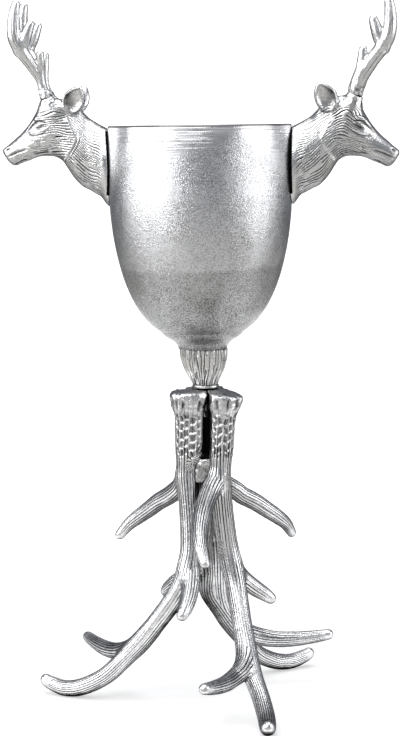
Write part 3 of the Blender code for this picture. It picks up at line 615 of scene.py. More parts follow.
def cast_metal(name, light, dark, smooth, rough,
               streaks=0.0, span=(0.1, 0.8), reach=0.018, grain=0.0004):
    """Light and dark are greys; streaks is how dark the lines in the grooves are."""
    made, bench, shader = new_look(name)
    place = bench.add("ShaderNodeTexCoord").outputs["Object"]
    speckle = bench.ramp(bench.noise(place, SPECKLES, 2.0), (0.34, 0.45), (0.47, 0.0))
    darkness = bench.plus(bench.kept("patina_and_shade"), speckle)
    darkness = bench.plus(darkness, painted_corner_shade(bench, reach))
    normal = bench.bump(bench.noise(place, GRAINS, 2.0), grain, 0.7)
    if streaks:
        lines = groove_lines(bench, span)
        darkness = bench.plus(darkness, bench.times(lines, streaks))
        normal = bench.bump(lines, -0.0004, 0.6, normal)
    patches = bench.ramp(bench.noise(place, PATCHES, 4.0), (0.3, smooth), (0.7, rough))
    bench.fill_named(shader, {
        "Base Color": bench.blend(darkness, light, dark),
        "Metallic": 1.0,
        "Specular Tint": (*EDGE_TINT, 1.0),
        "Roughness": bench.math("MULTIPLY_ADD", darkness, HOLLOW_ROUGHNESS, patches),
        "Normal": normal,
    })
    return made


SILVER = cast_metal("cast_silver_look", (0.96, 0.96, 0.97), (0.018, 0.018, 0.018), 0.18, 0.30,
                    streaks=1.7, span=(0.32, 0.86))
HEAD_SILVER = cast_metal("head_silver_look", (0.98, 0.98, 0.98), (0.025, 0.025, 0.023), 0.17, 0.28,
                         streaks=1.3, span=(0.42, 0.94), reach=0.008)
HORN_SILVER = cast_metal("horn_silver_look", (0.99, 0.99, 0.99), (0.04, 0.04, 0.04), 0.23, 0.34,
                         streaks=0.6, span=(0.50, 0.95), reach=0.010, grain=0.0003)
STEM_SILVER = cast_metal("stem_silver_look", (0.97, 0.97, 0.96), (0.03, 0.03, 0.03), 0.16, 0.28)
print("cast metals", SILVER.name, HEAD_SILVER.name, HORN_SILVER.name, STEM_SILVER.name)

# %% [markdown]
# ## The cup's metal
#
# The cup keeps its granular cast skin, and only a band under the rim was turned on a lathe and
# polished. One material does both: the mesh keeps a value called "polish", 1 on the cast skin and
# 0 in the turned band, which fades the grains out there and the fine turned lines in.

# %% The cup's metal
def cup_metal():
    made, bench, shader = new_look("granular_silver_look")
    place = bench.add("ShaderNodeTexCoord").outputs["Object"]
    cast = bench.kept("polish")
    pits = bench.ramp(bench.noise(place, 760.0, 1.0), (0.36, 0.44), (0.54, 0.0))
    darkness = bench.plus(bench.times(pits, cast), bench.kept("patina_and_shade"))
    turned = bench.noise(place, 600.0, 2.0, stretch=(0.012, 0.012, 1.0))
    turned = bench.times(turned, bench.math("SUBTRACT", 1.0, cast))
    grains = bench.times(bench.noise(place, 900.0, 1.0), cast)
    bench.fill_named(shader, {
        "Base Color": bench.blend(darkness, (0.91, 0.92, 0.945), (0.115, 0.112, 0.10)),
        "Metallic": 1.0,
        "Roughness": bench.ramp(bench.noise(place, 30.0, 3.0), (0.3, 0.22), (0.7, 0.30)),
        "Normal": bench.bump(grains, 0.00045, 1.0, bench.bump(turned, 0.0013, 1.0)),
    })
    return made


CUP_SILVER = cup_metal()
print("cup metal", CUP_SILVER.name)

# %% [markdown]
# ## Steel and rubber
#
# The screws, nuts and washers are plain steel, and the seals and pads are black rubber. These CAD
# pieces already have the right shape, so they only get a material, with a fine grain and a gloss
# that changes from patch to patch.

# %% Steel and rubber
def plain_look(name, colour, metallic, roughness, grain):
    made, bench, shader = new_look(name)
    place = bench.add("ShaderNodeTexCoord").outputs["Object"]
    bench.fill_named(shader, {
        "Base Color": (*colour, 1.0),
        "Metallic": metallic,
        "Roughness": bench.ramp(
            bench.noise(place, 220.0, 3.0), (0.3, roughness * 0.8), (0.7, roughness * 1.25)),
        "Normal": bench.bump(bench.noise(place, 1500.0, 2.0), grain, 0.5),
    })
    return made


STEEL = plain_look("steel_look", (0.60, 0.60, 0.62), 1.0, 0.28, 0.00008)
RUBBER = plain_look("rubber_look", (0.015, 0.015, 0.016), 0.0, 0.65, 0.0002)
LOOK_OF_SLOT = {
    "steel": STEEL, "rubber": RUBBER, "cast_silver": SILVER, "cast_silver_grey": STEM_SILVER,
}
for entry in frame["record"]["subparts"]:
    dressed = frame["nodes"][entry["node"]].data.materials
    dressed.clear()
    dressed.append(LOOK_OF_SLOT[entry["material_slot"]])
print("materials", [look.name for look in bpy.data.materials if look.name.endswith("look")])

# %% [markdown]
# ## Geometry Nodes
#
# The cup's cast skin and the stem's flutes each follow a rule all over a turned shape, so a node
# tree makes them. Its named inputs are the sizes that a maker would choose. The result is kept as
# a plain mesh, and the modifier goes.

# %% Geometry Nodes tools
def start_tree(name, inputs):
    """A tree with a mesh going in and out, and numbers going in under their names."""
    tree = bpy.data.node_groups.new(name, "GeometryNodeTree")
    tree.interface.new_socket("Geometry", in_out="INPUT", socket_type="NodeSocketGeometry")
    for label, value in inputs.items():
        socket = tree.interface.new_socket(label, in_out="INPUT", socket_type="NodeSocketFloat")
        socket.default_value = value
    tree.interface.new_socket("Geometry", in_out="OUTPUT", socket_type="NodeSocketGeometry")
    bench = Bench(tree)
    return bench, bench.add("NodeGroupInput").outputs


def kept_number(bench, name):
    """A number that the mesh keeps on its points."""
    node = bench.add("GeometryNodeInputNamedAttribute", data_type="FLOAT")
    bench.fill_named(node, {"Name": name})
    return node.outputs["Attribute"]


def noise_about_zero(bench, place, scale, detail):
    return bench.math("SUBTRACT", bench.noise(place, scale, detail), 0.5)


def end_tree(bench, geometry, distance, look):
    """Moves each point along its normal, and ends with real geometry that has its material."""
    normal = bench.add("GeometryNodeInputNormal").outputs[0]
    offset = bench.add("ShaderNodeVectorMath", normal, operation="SCALE")
    bench.fill_named(offset, {"Scale": distance})
    moved = bench.add("GeometryNodeSetPosition", geometry)
    bench.fill_named(moved, {"Offset": offset.outputs[0]})
    real = bench.add("GeometryNodeRealizeInstances", moved.outputs[0])
    dressed = bench.add("GeometryNodeSetMaterial", real.outputs[0])
    bench.fill_named(dressed, {"Material": look})
    bench.add("NodeGroupOutput", dressed.outputs[0])


def run_tree(piece, tree, values):
    """Runs the tree on the piece, keeps the result as its plain mesh, and removes the modifier."""
    modifier = piece.modifiers.new(tree.name, "NODES")
    modifier.node_group = tree
    for item in tree.interface.items_tree:
        if item.in_out == "INPUT" and item.name in values:
            modifier[item.identifier] = values[item.name]
    result = piece.evaluated_get(bpy.context.evaluated_depsgraph_get())
    made = bpy.data.meshes.new_from_object(result)
    piece.modifiers.clear()
    old, piece.data = piece.data, made
    bpy.data.meshes.remove(old)
    made.shade_smooth()
    print(tree.name, values, len(made.polygons), "faces")


# %% [markdown]
# ## Cup
#
# The cup is a sand casting, turned smooth only near its rim. Its outline is a list of radii and
# heights, as a turner's template would be: up the inside, over the lip, and down the outside.

# %% Cup outline
CUP_WALL = 3.0
STRAIGHT_Z = RIM_Z - 72.0
BELLY_DEPTH = STRAIGHT_Z - FOOT_Z - 11.2
FLOOR_Z = FOOT_Z + 17.2
STEM_RADIUS = 27.6


def cup_radius(height, inset=0.0):
    drop = np.clip((STRAIGHT_Z - height) / (BELLY_DEPTH - inset), 0.0, 1.0)
    return (CUP_RADIUS - inset) * (1.0 - drop**1.85) ** (1.0 / 3.0)


def rounded_edge(radius, top, rounding, first, last):
    """The rounded upper edge of a turned piece, between two angles."""
    return [(radius - rounding + rounding * math.sin(a), top - rounding + rounding * math.cos(a))
            for a in np.linspace(first, last, 6)]


def cup_inside():
    """From the middle of the floor up to the lip."""
    radius = CUP_RADIUS - CUP_WALL
    deep = np.sin(np.linspace(1.0, 0.0, 34) * math.pi / 2)
    inner = STRAIGHT_Z + (FLOOR_Z + 1.5 - STRAIGHT_Z) * deep
    wall = [(float(cup_radius(z, CUP_WALL)), float(z)) for z in inner]
    wall += [(radius, z) for z in np.arange(STRAIGHT_Z + 8.0, RIM_Z - 2.0, 8.0)]
    floor = [(0, FLOOR_Z), (8.0, FLOOR_Z), (18.0, FLOOR_Z)]
    return floor + wall + [(radius + 0.1, RIM_Z - 1.4), (radius + 0.6, RIM_Z - 0.4)]


def cup_outside():
    """From the straight wall down the belly to the flare that meets the stem."""
    straight = [(CUP_RADIUS, z) for z in np.arange(RIM_Z - 2.5, STRAIGHT_Z, -1.5)]
    turn = np.sin(np.linspace(0.0, 1.0, 112) * math.pi / 2)
    belly_z = STRAIGHT_Z + (STEM_TOP + 21.0 - STRAIGHT_Z) * turn
    belly = [(float(cup_radius(z)), float(z)) for z in belly_z]
    foot = STEM_RADIUS - 0.2
    flare = smooth_route([
        (*belly[-1], 0), (foot + 15.5, STEM_TOP + 15.5, 0), (foot + 6.0, STEM_TOP + 9.5, 0),
        (foot + 1.4, STEM_TOP + 4.5, 0), (foot, FOOT_Z + 0.2, 0)], 1.2)
    return straight + belly + [(p[0], p[1]) for p in flare[1:]] + [(foot * 0.5, FOOT_Z), (0, FOOT_Z)]


outline = cup_inside() + rounded_edge(CUP_RADIUS, RIM_Z, 1.5, 0.15, 1.5) + cup_outside()
print("cup outline", len(outline), "points")

# %% [markdown]
# ## Cup skin
#
# Sand leaves fine grains and shallow dents all over a casting. A Displace modifier could raise
# them, but a node tree can read the mesh's "polish" value, so the grains stop at the turned band
# while the dents go on under it.

# %% Cup skin
def cup_skin_tree():
    bench, sizes = start_tree("sand cast skin", {
        "Grain per metre": 260.0, "Grain height": 0.0006,
        "Dents per metre": 60.0, "Dent height": 0.0006})
    place = bench.add("GeometryNodeInputPosition").outputs[0]
    grain = noise_about_zero(bench, place, sizes["Grain per metre"], 1.0)
    grain = bench.times(bench.times(grain, sizes["Grain height"]), kept_number(bench, "polish"))
    dents = noise_about_zero(bench, place, sizes["Dents per metre"], 2.0)
    dents = bench.times(dents, sizes["Dent height"])
    sunk = bench.math("SUBTRACT", bench.plus(grain, dents), 0.00025)
    end_tree(bench, sizes["Geometry"], sunk, CUP_SILVER)
    return bench.tree


points, faces = turned_mesh(outline, 360)
x, y, z = points.T
radius, bearing = np.hypot(x, y), np.arctan2(y, x)
inside = radius < cup_radius(z) - 1.6
ragged = 14.0 * noise(np.stack([np.cos(bearing) * 3.0, np.sin(bearing) * 3.0, z / 22.0], 1), 1.0, 2.0)
polish = step(RIM_Z - 8.0 + ragged, RIM_Z - 34.0 + ragged, z)
polish = np.where(inside & (z > FLOOR_Z - 1.0), 0.2, polish)
# Dark places: the lip, the belly's lower half, darker towards the bottom from a wavy edge down, and
# soft clouds
lip = step(RIM_Z - 2.6, RIM_Z - 1.4, z) * step(CUP_RADIUS - 2.4, CUP_RADIUS - 1.4, radius)
wavy_belly_edge = 7.0 * noise(points, 26.0, 4.0)
belly = 0.24 * step(506.0 + wavy_belly_edge, 500.0 + wavy_belly_edge, z) + 0.36 * step(500.0, 425.0, z)
clouds = 0.16 * step(0.1, 0.9, noise(points, 34.0, 5.0))
clouds += 0.10 * step(0.0, 0.8, noise(points, 12.0, 6.0))
patina_and_shade = np.where(inside, 0.1, np.clip(0.85 * lip + belly + clouds, 0.0, 1.0))
cup = add_piece("cup", points, faces, CUP_SILVER, ("bowl",), {"polish": polish, "patina_and_shade": patina_and_shade})
run_tree(cup, cup_skin_tree(), {
    "Grain per metre": 330.0, "Grain height": 0.00008, "Dent height": 0.0004})

# %% [markdown]
# ## Stem
#
# The short stem has uneven flutes, filed by hand, that all run from top to bottom. Each could be
# cut with a boolean. They are one rule of the angle round the stem, so a node tree sinks the points
# where a wave of that angle is near zero, and bends the wave with noise.

# %% Stem
# Share of the radius, and share of the way down
STEM_SHAPE = (
    (1.0, 0.0), (0.985, 0.18), (0.93, 0.36), (0.83, 0.58), (0.71, 0.75), (0.575, 0.92), (0.53, 1.0),
)


def flute_tree():
    bench, sizes = start_tree("uneven flutes", {
        "Flutes": 13.0, "Depth": 0.0016, "Wander": 2.4, "Drift per metre": 14.0})
    right, ahead, up = bench.parts(bench.add("GeometryNodeInputPosition").outputs[0])
    x = bench.math("SUBTRACT", right, float(AXIS[0]))
    y = bench.math("SUBTRACT", ahead, float(AXIS[1]))
    radius = bench.math("SQRT", bench.plus(bench.times(x, x), bench.times(y, y)))
    around = [bench.times(bench.math("DIVIDE", value, radius), 1.4) for value in (x, y)]
    ring = bench.add("ShaderNodeCombineXYZ", *around, bench.times(up, sizes["Drift per metre"]))
    bend = bench.times(noise_about_zero(bench, ring.outputs[0], 1.6, 2.0), sizes["Wander"])
    phase = bench.times(bench.math("ARCTAN2", y, x), sizes["Flutes"])
    phase = bench.plus(phase, bench.times(bend, 3.0))
    line = bench.math("ABSOLUTE", bench.math("SINE", phase))
    cut = bench.math("POWER", bench.math("SUBTRACT", 1.0, line), 1.5)
    side = kept_number(bench, "side")
    deep = bench.times(cut, bench.times(side, sizes["Depth"]))
    keep = bench.add("GeometryNodeStoreNamedAttribute", data_type="FLOAT", domain="POINT")
    # The flutes are painted dark, both patina and painted shade
    shade = bench.times(bench.times(cut, 0.6), side)
    bench.fill_named(keep, {"Geometry": sizes["Geometry"], "Name": "patina_and_shade", "Value": shade})
    end_tree(bench, keep.outputs["Geometry"], bench.times(bench.plus(deep, 0.00005), -1.0), STEM_SILVER)
    return bench.tree


stem_height = STEM_TOP - STEM_LOW
curve = smooth_route([(STEM_RADIUS * r, STEM_TOP - stem_height * d, 0) for r, d in STEM_SHAPE], 0.8)
outline = [(0, STEM_TOP), (STEM_RADIUS * 0.7, STEM_TOP)]
outline += [(p[0], p[1]) for p in curve] + [(9.0, STEM_LOW), (0, STEM_LOW)]
points, faces = turned_mesh(outline, 420)
skin_radius = np.interp(points[:, 2], curve[::-1, 1], curve[::-1, 0])
side = step(0.72, 0.9, np.hypot(points[:, 0], points[:, 1]) / skin_radius)
stem = add_piece("fluted_stem", leaned(points), flipped(faces), STEM_SILVER, ("stem",),
                 {"side": side, "patina_and_shade": side * 0})
run_tree(stem, flute_tree(), {"Flutes": 16.0, "Depth": 0.0018, "Wander": 5.0})

# %% [markdown]
# ## Collar
#
# A thin turned ring spreads the stem's weight over the tops of the three legs. It is the same kind
# of turned mesh, with both its edges rounded.

# %% Collar
edge = rounded_edge(COLLAR_RADIUS, COLLAR_TOP, 1.2, 0, math.pi / 2)
edge += [(radius, COLLAR_TOP + COLLAR_LOW - height) for radius, height in edge[::-1]]
points, faces = turned_mesh([(0, COLLAR_TOP), *edge, (0, COLLAR_LOW)], 96)
add_piece("collar_ring", leaned(points), flipped(faces), STEM_SILVER, ("stem_collar",),
          {"patina_and_shade": np.zeros(len(points))})

# %% [markdown]
# ## Antler legs
#
# Each leg is one casting of a shed antler, used three times: a beam that stands under the collar
# and sweeps out to the floor, a brow tine, a short tine, and a fork. The routes are the ones that
# the CAD castings follow. Each point is a place beside the cup's axis, with the radius there.

# %% Leg routes
LEG_BEAM = (
    (22.9, 3.4, 364.8, 19.6), (22.9, 2.8, 361.0, 20.8), (22.8, 1.9, 355.5, 21.7),
    (22.7, 1.0, 349.5, 20.8), (22.5, 0.1, 342.0, 17.8), (22.3, -1.0, 333.0, 15.4),
    (22.2, -2.2, 315.8, 14.6), (21.8, -2.5, 292.0, 13.8), (21.6, -2.1, 269.5, 12.9),
    (21.7, 1.9, 235.4, 12.1), (23.4, 8.2, 190.2, 12.0), (26.8, 10.1, 167.5, 12.4),
    (35.5, 7.1, 138.7, 12.0), (45.6, -2.3, 115.8, 11.6), (56.1, -13.3, 95.9, 11.4),
    (70.1, -26.8, 71.8, 11.2), (88.3, -43.7, 46.2, 10.7), (104.9, -56.2, 27.4, 10.3),
    (123.6, -76.9, 13.2, 10.0), (137.0, -96.6, 8.7, 9.4), (147.6, -114.4, 12.8, 8.0),
    (150.9, -120.0, 15.6, 6.9),
)
LEG_BROW_TINE = (
    (21.4, -6.0, 262.0, 11.2), (20.6, -21.4, 247.9, 11.0), (24.5, -37.9, 236.5, 10.8),
    (31.0, -56.0, 226.0, 10.3), (37.0, -70.2, 215.5, 9.7), (43.9, -82.7, 205.7, 8.9),
    (52.2, -92.7, 195.8, 7.6), (61.0, -99.6, 183.0, 5.8),
)
LEG_SHORT_TINE = (
    (26.5, 12.0, 160.0, 10.5), (29.9, 20.4, 148.6, 10.2), (34.8, 27.2, 138.5, 10.2),
    (43.0, 37.0, 128.0, 9.6), (51.4, 45.1, 120.0, 8.4), (57.3, 49.3, 114.6, 6.6),
)
LEG_FORK_TINE = (
    (63.0, -21.0, 83.0, 8.0), (73.0, -36.0, 65.0, 10.4), (79.4, -56.0, 54.8, 10.8),
    (80.8, -76.5, 50.4, 9.8), (83.0, -96.2, 49.4, 9.2), (84.4, -119.8, 51.0, 8.0),
    (85.1, -142.4, 54.4, 6.4),
)
# Beside the beam, under the burr, the casting is fuller towards the leg on its left
LEG_FLANK = (
    (19.5, 9.5, 282.0, 5.5), (19.0, 10.5, 296.0, 8.2), (19.0, 10.5, 337.0, 8.6),
    (19.0, 12.5, 347.0, 10.5), (19.0, 13.0, 354.0, 11.5),
)
# The back leg's beam is broad in its middle, with a second rib beside the first
BACK_LEG_RIB = (
    (21.5, -3.0, 252.0, 6.0), (22.0, -7.5, 228.0, 8.0), (23.0, -11.0, 190.0, 9.2),
    (26.4, -12.5, 165.0, 10.0), (34.0, -13.0, 140.0, 10.4), (45.0, -14.5, 117.0, 10.0),
    (57.0, -19.0, 96.0, 9.5), (70.0, -28.0, 73.0, 9.0),
)
BEAM_KNOTS = np.array(LEG_BEAM)[::-1]
LEG_ROUTES = [smooth_route(r, 4.0) for r in (LEG_BEAM, LEG_BROW_TINE, LEG_SHORT_TINE, LEG_FORK_TINE)]
LEG_VOXEL = 0.90 * COARSE
print("leg routes", [len(route) for route in LEG_ROUTES], "grid step", LEG_VOXEL)


def leg_routes(aside):
    """The four routes, with the middle of the beam moved aside, as on the back leg."""
    routes = []
    for route in LEG_ROUTES:
        x, y, z = route[:, :3].T
        share = step(262.0, 215.0, z) * step(112.0, 150.0, z) * step(45.0, 25.0, np.hypot(x - 22.0, y))
        moved = route.copy()
        moved[:, 1] -= aside * share
        routes.append(moved)
    return routes


# %% [markdown]
# ## The form of a leg
#
# The tubes are joined into one field. At the top the three legs stand side by side with a narrow
# slit between them, so each leg's field is cut by two upright planes. The burr, which is the
# knobbly ring where an antler was shed, reaches a little over the slit on one side.

# %% The form of a leg
BURR_REACH = 2.0
SIXTY = math.radians(60)
SLIT_LOW = 300.0


def overhang(height):
    return BURR_REACH * step(345.0, 352.0, height)


def slit_planes():
    """The two upright planes beside a leg: their side, and the direction into the leg."""
    return [(side, np.array((math.sin(SIXTY), -side * math.cos(SIXTY), 0.0))) for side in (1, -1)]


def leg_skin(routes, slope, rib):
    low, high = room_for(routes, 24.0, 24.0)
    low[2], high[2] = -4.0, LEG_TOP + 4.0
    axes = grid_points(low, high, LEG_VOXEL)
    field = joined_tubes(routes, axes, 7.0)
    field = smooth_min(field, tube_field(smooth_route(LEG_FLANK, 4.0), axes), 6.0)
    if rib:
        field = smooth_min(field, tube_field(smooth_route(rib, 4.0), axes), 1.5)
    x, y, z = spread(axes)
    outer = np.clip(np.hypot(x, y) - COLLAR_RADIUS, 0.0, 40.0)
    field = smooth_max(field, z - LEG_TOP + 0.3 + slope * outer, 4.0)
    upper = axes[2] > SLIT_LOW
    for side, inward in slit_planes():
        plane = 0.4 - side * overhang(z) - (inward[0] * x + inward[1] * y)
        plane = np.broadcast_to(plane, field.shape)[:, :, upper]
        field[:, :, upper] = smooth_max(field[:, :, upper], plane, 1.2)
    return skin_of(np.maximum(field, np.broadcast_to(0.05 - z, field.shape)), axes)


print("the slit starts at", SLIT_LOW, "and the burr reaches", overhang(LEG_TOP), "mm over it")

# %% [markdown]
# ## Pearls, burr and grooves
#
# Under the burr an antler is covered with pearls. This casting shows them as rows of sunk cells,
# set like bricks, with raised borders. They could be sculpted one by one. Here they are a grid
# wrapped round the beam, whose lines noise has bent. Further down, long grooves take their place.

# %% Pearls, burr and grooves
PEARL_COLUMNS = 15
PEARL_ROW = 10.2


def pearl_cells(at, z, outward):
    """Depth of the sunk cells, and the zone where they are."""
    wide = at["angle"] / (2 * math.pi) * PEARL_COLUMNS
    tall = at["u"] / PEARL_ROW + 0.34 * noise(round_place(at, 2.5, 40.0), 1.0, 8.0)
    wide = wide + 0.30 * noise(round_place(at, 3.0, 8.0), 1.0, 9.0)
    column = np.floor(wide)
    tall = tall + 0.5 * (column % 2) + 0.30 * TABLE[column.astype(int) % 32, 3, 5]
    a, b = (np.abs(value - np.floor(value) - 0.5) * 2 for value in (wide, tall))
    zone = step(284.0, 291.0, z + 3.0 * np.sin(at["angle"] * 7.0)) * step(339.0, 332.0, z)
    return step(0.84, 0.52, a) * step(0.90, 0.66, b), zone * step(-0.45, -0.1, outward)


def beam_marks(points, at, cut, dark, phase):
    """Adds to the beam's grooves what only the beam has, and gives back its cut and darkness."""
    x, y, z = points.T
    middle_x, middle_y = (np.interp(z, BEAM_KNOTS[:, 2], BEAM_KNOTS[:, k]) for k in (0, 1))
    radius = np.maximum(at["radius"], 1.0)
    outward, sideways = (x - middle_x) / radius, (y - middle_y) / radius
    # The pearls take the place of the grooves at the top
    cell, zone = pearl_cells(at, z, outward)
    high_up = step(292.0, 300.0, z)
    burr = step(334.0, 344.0, z)
    cut = cut * (1.0 - 0.85 * high_up * (1.0 - burr)) + zone * (1.4 * cell - 0.6)
    phase[:, 2] *= 1.0 - 0.85 * high_up
    # The outer side of the lower beam is buffed until its grooves fade
    buffed = step(-0.1, 0.6, outward) * step(160.0, 125.0, z) * step(35.0, 60.0, z)
    phase[:, 2] *= 1.0 - 0.65 * buffed
    cut = cut * (1.0 - 0.5 * buffed)
    # The inner faces, shut in between the legs, get painted shade above the web and below it
    inner = step(-0.35, -0.75, outward) * step(282.0, 290.0, z)
    # The sunk pearl cells are painted dark, both patina and painted shade
    dark = dark * (1.0 - 0.8 * high_up) + zone * cell * 0.64 + inner * step(358.0, 350.0, z)
    low_inner = step(-0.15, -0.95, outward - 0.45 * sideways) * step(276.0, 262.0, z)
    dark = dark + 0.5 * low_inner * step(50.0, 100.0, z)
    # The burr's lip is smooth on top, and creased below where it folds over the pearls
    fold = step(356.0, 350.0, z) * step(338.0, 345.0, z)
    crease = ridge(at["angle"] * 5.5 + 2.2 * noise(round_place(at, 1.4, 20.0), 1.0, 3.0), 1.7)
    knobs = 0.8 * noise(points, 7.0, 3.0) + 0.5 * noise(points, 3.2, 4.0)
    cut = cut * (1 - burr) + burr * (2.4 * crease * fold - knobs * 1.1)
    # The burr's creases and the low parts of its knobs are painted dark, both patina and painted shade
    dark = dark * (1 - burr) + burr * (0.95 * crease * fold + np.clip(-0.12 - knobs * 0.8, 0.0, 0.55))
    return cut, dark


print(PEARL_COLUMNS, "columns of pearls in rows of", PEARL_ROW, "mm")

# %% [markdown]
# ## Carving a leg
#
# Each point of the skin moves along its normal, inwards at a groove and outwards at a knob. It could
# be sculpted with brushes, but the tops have to stay level and the slit between the legs open. Here
# both are held exactly, after everything else has been carved.

# %% Carving a leg
def carve_leg(points, faces, routes):
    """The carved points, their darkness, and the grooves that the material draws."""
    normals = normals_of(points, faces)
    blend = RouteBlend(points)
    for number, route in enumerate(routes):
        at = follow(points, smooth_route(route, 1.5))
        tip = step(2.0, 16.0, at["left"])
        lines, phase = grooves(at, 20 if number else 24, 1.2, 10.0 + number)
        cut = 0.8 * lines * (0.25 + 0.75 * tip)
        # The grooves are painted a little dark, both patina and painted shade
        dark = 0.10 * lines * tip
        phase[:, 2] = (0.35 + 0.65 * phase[:, 2]) * tip
        if number == 0:
            cut, dark = beam_marks(points, at, cut, dark, phase)
        blend.add(at, 1.6, cut, dark, phase, step(4.0, 14.0, at["u"]) if number else 1.0)
    cut, dark = blend.mean()
    top = (np.abs(normals[:, 2]) > 0.93) & (points[:, 2] > LEG_TOP - 6.0)
    shift = np.where(top, -0.6 + 0.6 * noise(points, 6.0, 6.0), 0.12 * noise(points, 6.0, 5.0) - cut)
    # Painted shade on the undersides, which are also duller than the buffed tops
    under = step(-0.30, -0.75, normals[:, 2] + 0.12 * noise(points, 9.0, 13.0))
    patina_and_shade = np.clip(np.clip(dark, 0.0, 1.0) + 0.6 * under, 0.0, 1.0)
    carved = points + normals * shift[:, None]
    carved[:, 2] = np.clip(carved[:, 2], 0.02, LEG_TOP - 0.02)
    upper = carved[:, 2] > SLIT_LOW + 1.0
    for side, inward in slit_planes():
        short = np.clip(0.15 - side * overhang(carved[:, 2]) - carved @ inward, 0.0, None) * upper
        carved += short[:, None] * inward
    return carved, patina_and_shade, blend.groove


print("leg tops are held under", LEG_TOP)

# %% [markdown]
# ## Three legs
#
# The same pattern is made three times and turned about the axis. Each leg differs a little: how far
# the middle of its beam is set aside, how much its top slopes, and whether it has the second rib.

# %% Three legs
LEGS = (("left", 0.0, 0.08, None), ("front", 0.0, 0.30, None), ("back", 10.0, 0.08, BACK_LEG_RIB))
for name, aside, slope, rib in LEGS:
    routes = leg_routes(aside)
    points, faces = leg_skin(routes, slope, rib)
    if rib:
        routes.append(smooth_route(rib, 4.0))
    points, patina_and_shade, groove = carve_leg(points, faces, routes)
    points = leaned(spun(points, LEG_TURNS[name]))
    add_piece("antler_leg_" + name, points, faces, SILVER, ("leg_" + name,),
              {"patina_and_shade": patina_and_shade, "groove": groove})

# %% [markdown]
# ## Web block
#
# A rough block bridges the three legs below their pearls and is pinned to them. It is a short drum
# whose field is cut away wherever a leg passes, so that it fills the space between them exactly.

# %% Web block
WEB_LOW, WEB_TOP = 256.5, 284.5
WEB_RADIUS = 22.0


def web_skin():
    low, high = np.array((-25.0, -25.0, WEB_LOW - 3.0)), np.array((25.0, 25.0, WEB_TOP + 3.0))
    axes = grid_points(low, high, 0.7 * COARSE)
    x, y, z = spread(axes)
    around = np.hypot(x, y) - WEB_RADIUS + 0 * z
    level = np.abs(z - (WEB_LOW + WEB_TOP) / 2) - (WEB_TOP - WEB_LOW) / 2 + 0 * x
    field = smooth_max(around, level, 2.5)
    for turn in LEG_TURNS.values():
        for route in LEG_ROUTES[:2]:
            turned = np.hstack([spun(route[:, :3], turn), route[:, 3:]])
            field = smooth_max(field, 0.15 - tube_field(turned, axes), 1.0)
    return skin_of(field, axes)


points, faces = web_skin()
knobs = 0.5 * noise(points, 6.0, 2.0) + 0.5 * noise(points, 2.5, 3.0)
points = points + normals_of(points, faces) * (0.5 * knobs - 0.3)[:, None]
# Painted shade on its sides, and a painted highlight on its top, which can be seen between the legs
patina_and_shade = np.clip(0.45 - 0.5 * knobs - 0.6 * step(276.0, 279.0, points[:, 2]), 0, 0.8)
add_piece("web_casting", leaned(points), faces, STEM_SILVER, ("web_block",), {"patina_and_shade": patina_and_shade})

# %% [markdown]
# ## Heads
#
# Both heads are castings of one pattern, turned to face away from each other. The table gives the
# form of the head and neck at a row of stations. A loft through them could be a surface of curves,
# but as a field it can grow ears and antler stubs whose roots melt into the skull.

# %% Head stations
# Distance from the axis, heights of top and bottom, half the width, and how round a section is
HEAD_STATIONS = (
    (96.0, 655.0, 566.0, 27.5, 1.0), (106.0, 660.0, 573.0, 27.5, 1.0),
    (113.0, 663.5, 582.0, 26.5, 1.0), (119.0, 667.0, 585.5, 25.8, 1.0),
    (126.0, 671.5, 589.5, 24.8, 1.0), (134.0, 679.5, 593.5, 23.8, 1.0),
    (141.0, 684.5, 600.0, 23.0, 1.0), (147.0, 687.5, 608.0, 22.6, 1.0),
    (152.0, 689.0, 616.0, 22.4, 1.0), (157.0, 690.0, 622.5, 22.4, 1.0),
    (165.0, 690.0, 626.5, 22.2, 0.95), (174.0, 688.0, 627.0, 21.4, 0.9),
    (181.0, 683.5, 626.6, 19.8, 0.9), (187.0, 673.5, 625.0, 17.6, 0.9),
    (194.0, 662.5, 622.0, 14.8, 0.85), (203.0, 652.0, 618.6, 12.6, 0.8),
    (211.0, 645.0, 615.6, 11.6, 0.8), (217.0, 639.6, 618.8, 10.6, 0.8),
    (221.5, 636.2, 625.0, 8.4, 0.8), (224.4, 633.6, 629.6, 4.0, 0.9),
)
HEAD_LOFT = smooth_route(HEAD_STATIONS, 1.0)
HEAD_VOXEL = 0.7 * COARSE
NOSE_END = 224.4
NOSE_REACH = 121.0
SLOT_LOW, SLOT_HIGH = RIM_Z - 78.0, RIM_Z - 6.0
PEDICLE_ROOT = np.array((171.5, 11.0, 676.0))
PEDICLE_SEAT = np.array((175.5, 14.0, 694.0))
PEDICLE_RADIUS = 8.7
# How each head differs. Its turn about the axis; the flat face or the room behind its neck; whether
# a cord edges the cheek; how much the cheek's hair sweeps and how dark the strokes are; how far the
# ears and the antlers are set back; the antlers' lean and slimmer stubs; how far the nose tips up
SIDES = {
    "right": {"turn": 0.0, "face": 104.4, "room": 1.2, "cord": 0.0, "sweep": 0.75, "strokes": 1.6,
              "ears": 0.0, "antlers": 0.0, "lean": 0.0, "slimmer": 0.0, "nose": -3.2},
    "left": {"turn": math.pi, "face": 0.0, "room": 2.8, "cord": 1.0, "sweep": 0.12, "strokes": 1.0,
             "ears": 2.5, "antlers": 4.2, "lean": math.radians(-4.0), "slimmer": 1.2, "nose": 3.8},
}
print("head loft", len(HEAD_LOFT), "sections, grid step", HEAD_VOXEL)


def loft(x, column):
    """One of the measures of the head at distances x from the axis."""
    return np.interp(x, HEAD_LOFT[:, 0], HEAD_LOFT[:, column])


# %% [markdown]
# ## Ears
#
# An ear is a thin leaf, hollowed like a cup and pinched to a point. Two egg shapes make it, one
# taken out of the other, in a frame of the ear's own that leans back and splays outwards.

